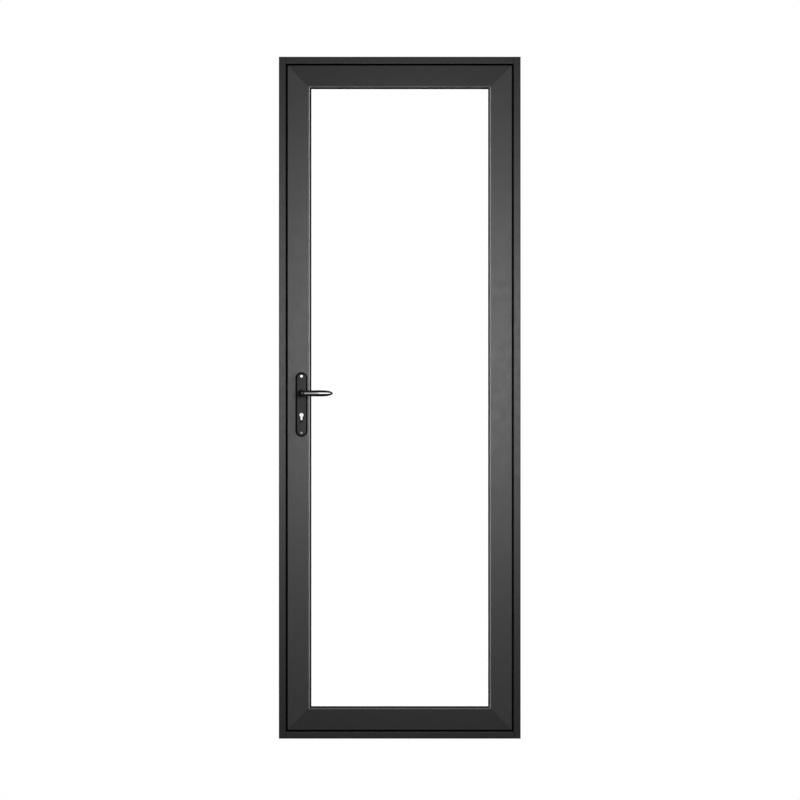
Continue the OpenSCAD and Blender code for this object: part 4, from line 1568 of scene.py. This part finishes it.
@dataclass
class HandleSet:
    """The handle set: two plates, their screws, the bushes and both levers.

    Attributes:
        plate_edge: width of the broken edges on the plates.
        seal_shade_out: how far the seal shows round a plate, as a black line of painted contact shadow.
        trim: how far a plate's outline is ground back.
        rim: width of a plate's rolled rim, painted darker as the shade round the plate's edge.
        rim_steps: steps round the rolled rim.
        roll: size of the roll, as a share of the rim's width.
    """

    plate_edge: float = 0.5 * MM
    seal_shade_out: float = 0.8 * MM
    trim: float = 1.5 * MM
    rim: float = 3.8 * MM
    rim_steps: int = 4
    roll: float = 0.3

    def build(self) -> None:
        """Makes the handle set's pieces."""
        for face in ("front", "rear"):
            self.plate(face)
            self.seal_and_shade_line(face)
        dress("lever_bushes", HOUSING_PLASTIC)
        screw = Fastener(4.3 * MM, 2.5 * MM, 84 * MM, 1.5 * MM, 1.6 * MM, 0.7 * MM)
        set_fasteners("plate_screw_set", face_spots("handle_plate_screws", Way.FRONT), screw, BRIGHT_SCREW,
                      "leaf", "handle_plate_screws")
        Lever("lever_front", Way.FRONT).build()
        Lever("lever_rear", Way.REAR).build()

    def plate(self, face: str) -> None:
        """Makes a handle plate whose front edge is rolled back into a rim, painted darker as the shade round
        the plate's edge.

        Args:
            face: front or rear.
        """
        node = f"handle_plate_{face}"
        low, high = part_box(node)
        outer = low.y if face == "front" else high.y
        half = (high.x - low.x) / 2
        middle = Vector((low.x + half, 0.0, (low.z + high.z) / 2))
        straight = (high.z - low.z) / 2 - half

        def offset(point: Vector) -> Vector:
            """Gives the way from a plate's middle line to a point on it.

            Args:
                point: the point.

            Returns:
                The way, square to the middle line.
            """
            along = max(-straight, min(straight, point.z - middle.z))
            return Vector((point.x - middle.x, 0.0, point.z - middle.z - along))

        piece = copy_of(node, node + "_skin")
        shell = bmesh.new()
        shell.from_mesh(piece.data)
        edge = half - self.trim
        for vertex in shell.verts:
            way = offset(vertex.co)
            if way.length > half - self.rim:
                level = edge - self.rim if abs(vertex.co.y - outer) < NEAR else edge
                vertex.co += way.normalized() * (level - way.length)
        rolled = [
            line for line in shell.edges
            if abs(line.verts[0].co.y - line.verts[1].co.y) < NEAR
            and all(offset(v.co).length > edge - self.rim - 0.1 * MM for v in line.verts)
            and abs(line.verts[0].co.y - outer) < 0.7 * (high.y - low.y)
        ]
        bmesh.ops.bevel(shell, geom=rolled, offset=self.rim * self.roll, segments=self.rim_steps,
                        profile=0.5, affect="EDGES")
        shell.to_mesh(piece.data)
        shell.free()
        finish_piece(shade(round_off(piece, self.plate_edge, 3)), PLATE_BLACK, "leaf", [node])
        # The rim's faces take the darker finish: painted shade round the plate's edge.
        piece.data.materials.append(PLATE_RIM_SHADE.material())
        for polygon in piece.data.polygons:
            if offset(polygon.center).length > edge - self.rim + 0.05 * MM:
                polygon.material_index = 1
        LOG.info("%s: %d edges rolled", piece.name, len(rolled))

    def seal_and_shade_line(self, face: str) -> None:
        """Makes the thin seal under a handle plate, let out past its edge as a black line of painted contact
        shadow.

        Args:
            face: front or rear.
        """
        low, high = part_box(f"handle_plate_{face}")
        level, toward = (high.y, -1.0) if face == "front" else (low.y, 1.0)
        half = (high.x - low.x) / 2
        middle_x, straight = low.x + half, (high.z - low.z) / 2 - half
        middle_z = (low.z + high.z) / 2
        rings = []
        # The outer rings reach past the plate's edge: a black line of painted contact shadow.
        for grow_by, depth in ((self.seal_shade_out, 0.02 * MM), (self.seal_shade_out, 0.5 * MM), (0.2 * MM, 0.8 * MM),
                               (0.05 * MM, 0.8 * MM), (0.05 * MM, 0.02 * MM)):
            radius = half - self.trim + grow_by
            outline = arc(0.0, straight, radius, 0.0, 180.0, 24)
            outline += arc(0.0, -straight, radius, 180.0, 360.0, 24)
            rings.append([(middle_x + x, level + toward * depth, middle_z + z) for x, z in outline])
        points = [point for ring in rings for point in ring]
        faces = ring_faces(len(rings), len(rings[0]), closed=True)
        piece = shade(from_points(f"plate_seal_{face}", points, faces), 50)
        finish_piece(piece, RUBBER, "leaf")


# ---- studio ----


@dataclass
class Lamp:
    """A soft square lamp, which may be flagged off so that it lights only some pieces.

    Attributes:
        name: its name.
        place: where it stands.
        target: what it looks at.
        width: its width.
        height: its height.
        power: its power in watts.
        color: its colour.
        lights_only: starts of the names of the only pieces that it lights, or nothing for all of them.
        spares: starts of the names of pieces that are flagged off from it.
    """

    name: str
    place: tuple[float, float, float]
    target: tuple[float, float, float]
    width: float
    height: float
    power: float
    color: Color = (1.0, 1.0, 1.0)
    lights_only: tuple[str, ...] = ()
    spares: tuple[str, ...] = ()

    def build(self) -> None:
        """Sets up the lamp, which the camera doesn't see."""
        light = bpy.data.lights.new(self.name, "AREA")
        light.shape = "RECTANGLE"
        light.size, light.size_y = self.width, self.height
        light.energy, light.color = self.power, self.color
        lamp = bpy.data.objects.new(self.name, light)
        lamp.location = self.place
        aim = Vector(self.target) - Vector(self.place)
        lamp.rotation_euler = aim.to_track_quat("-Z", "Y").to_euler()
        lamp.visible_camera = False
        lamp.visible_transmission = False
        bpy.context.scene.collection.objects.link(lamp)
        named = self.lights_only or self.spares
        if named:
            chosen = bpy.data.collections.new("chosen_by_" + self.name)
            for piece in bpy.context.scene.objects:
                if piece.name.startswith(named):
                    chosen.objects.link(piece)
            for item in chosen.collection_objects:
                item.light_linking.link_state = "INCLUDE" if self.lights_only else "EXCLUDE"
            lamp.light_linking.receiver_collection = chosen


@dataclass
class Studio:
    """Camera, lamps, background and floor.

    Attributes:
        view_height: height of the camera's view in metres.
        aside: how far the camera stands to the right of the door's middle.
        drop: how far it stands below the door's middle.
        distance: how far in front it stands.
        dim: strength of the room's light from in front.
        behind: strength of the room's light from behind.
        through: strength of the white that is seen through glass.
        floor_half: half the floor's width.
        floor_color: the floor's linear colour.
    """

    view_height: float = 2.5809
    aside: float = 0.0008
    drop: float = 0.0074
    distance: float = 6.0
    dim: float = 0.11
    behind: float = 0.75
    through: float = 1.25
    floor_half: float = 4.0
    floor_color: Color = (0.72, 0.72, 0.71)

    def camera(self) -> None:
        """Sets a straight-on camera with parallel rays."""
        low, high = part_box("frame_jamb_lock_front")
        lens = bpy.data.cameras.new("studio_camera")
        lens.type = "ORTHO"
        lens.ortho_scale = self.view_height
        lens.clip_end = 60.0
        holder = bpy.data.objects.new("studio_camera", lens)
        holder.location = (self.aside, -self.distance, (low.z + high.z) / 2 - self.drop)
        holder.rotation_euler = (math.pi / 2, 0.0, 0.0)
        bpy.context.scene.collection.objects.link(holder)
        bpy.context.scene.camera = holder

    def world(self) -> None:
        """Makes a background that is white to the eye and lights the room dimly, more from behind."""
        world = bpy.data.worlds.new("studio_world")
        bpy.context.scene.world = world
        world.use_nodes = True
        tree = Tree(world.node_tree)
        path = tree.add("ShaderNodeLightPath")
        place = tree.add("ShaderNodeTexCoord").outputs["Generated"]
        split = tree.add("ShaderNodeSeparateXYZ", {0: place})
        ranges = {"From Min": 0.1, "From Max": 0.9, "To Min": self.dim, "To Max": self.behind}
        level = tree.add(
            "ShaderNodeMapRange", {"Value": split.outputs["Y"], **ranges}, interpolation_type="SMOOTHSTEP"
        ).outputs["Result"]
        straight = tree.math("LESS_THAN", path.outputs["Glossy Depth"], 0.5)
        unscattered = tree.math("LESS_THAN", path.outputs["Diffuse Depth"], 0.5)
        plain = tree.math("MULTIPLY", straight, unscattered)
        passed = tree.math("MULTIPLY", path.outputs["Is Transmission Ray"], plain)
        through = tree.math("MULTIPLY", passed, self.through)
        white = tree.math("MAXIMUM", path.outputs["Is Camera Ray"], through)
        strength = tree.math("MAXIMUM", white, level)
        background = world.node_tree.nodes["Background"]
        world.node_tree.links.new(strength, background.inputs["Strength"])
        background.inputs["Color"].default_value = (1.0, 1.0, 1.0, 1.0)

    def floor(self) -> None:
        """Lays a plain pale floor."""
        half, level = self.floor_half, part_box("frame_sill_front")[0].z
        corners = [(-half, -half, level), (half, -half, level), (half, half, level), (-half, half, level)]
        mesh = bpy.data.meshes.new("studio_floor")
        mesh.from_pydata(corners, [], [(0, 1, 2, 3)])
        floor = new_object("studio_floor", mesh)
        material, _ = start_material("pale_floor")
        shader = material.node_tree.nodes["Principled BSDF"]
        shader.inputs["Base Color"].default_value = (*self.floor_color, 1.0)
        shader.inputs["Roughness"].default_value = 0.7
        floor.data.materials.append(material)
        floor.visible_diffuse = False
        floor.visible_glossy = False

    def build(self) -> None:
        """Sets up the studio but for its lamps."""
        bpy.context.scene.view_settings.view_transform = "Standard"
        self.camera()
        self.world()
        self.floor()

    def lamps(self) -> None:
        """Sets up the lamps once every piece is there."""
        floor, cylinder = ("studio_floor",), ("cylinder_body", "cylinder_plugs")
        dull = ("plate_screw_set", *cylinder, "latch_bolt", *floor, "pane")
        lamps = [
            Lamp("key_lamp", (0.10, -1.75, 1.25), (0.05, 0.0, 1.23), 0.8, 0.75, 21.0, spares=dull),
            Lamp("rear_lamp", (-0.5, 2.6, 1.3), (0.0, 0.0, 1.1), 1.4, 1.6, 45.0, spares=floor),
        ]
        for side, far in ((-1.0, "hinge"), (1.0, "lock")):
            lamps += [
                Lamp(f"side_lamp_{far}", (2.6 * side, 0.5, 1.4), (0.2 * side, 0.0, 1.1), 0.8, 1.8, 26.0,
                     spares=floor),
                Lamp(f"arris_lamp_{far}", (2.0 * side, -0.42, 1.35), (0.0, 0.0, 1.2), 1.5, 2.2, 185.0,
                     lights_only=(f"leaf_stile_{far}_front",)),
            ]
        lamps += [
            Lamp("arris_lamp_bottom", (0.0, -1.1, 3.3), (0.0, 0.0, 0.1), 1.2, 1.2, 40.0,
                 lights_only=("leaf_rail_bottom_front",)),
            Lamp("arris_lamp_top", (0.0, -1.1, -0.6), (0.0, 0.0, 2.1), 1.2, 1.3, 110.0,
                 lights_only=("leaf_rail_top_front",)),
            Lamp("top_lamp", (0.0, 0.4, 3.6), (0.0, 0.0, 2.0), 1.2, 0.8, 16.0, spares=floor),
            Lamp("grip_lamp", (-0.25, -1.5, 1.18), (-0.27, 0.0, 1.114), 0.7, 0.75, 8.0,
                 lights_only=("lever_front_grip",)),
            Lamp("screw_lamp", (-0.317, -1.2, 1.2), (-0.317, 0.0, 1.17), 0.24, 0.24, 0.60,
                 lights_only=("plate_screw_set",)),
            Lamp("lock_lamp", (-0.317, -1.2, 1.08), (-0.317, 0.0, 1.044), 0.5, 0.6, 1.6,
                 lights_only=cylinder),
            Lamp("floor_lamp", (0.0, 0.0, 3.4), (0.0, 0.0, 0.0), 14.0, 14.0, 780.0, lights_only=floor),
        ]
        for lamp in lamps:
            lamp.build()


def main() -> None:
    """Builds the studio and every sub-assembly."""
    logging.basicConfig(level=logging.INFO, format="%(name)s: %(message)s")
    studio = Studio()
    builders: list[Callable[[], None]] = [
        studio.build, FrameSet().build, LeafSet().build, GlazingSet().build, SealSet().build,
        HingeSet().build, LockSet().build, HandleSet().build, studio.lamps,
    ]
    for build in builders:
        build()


if __name__ == "__main__":
    main()
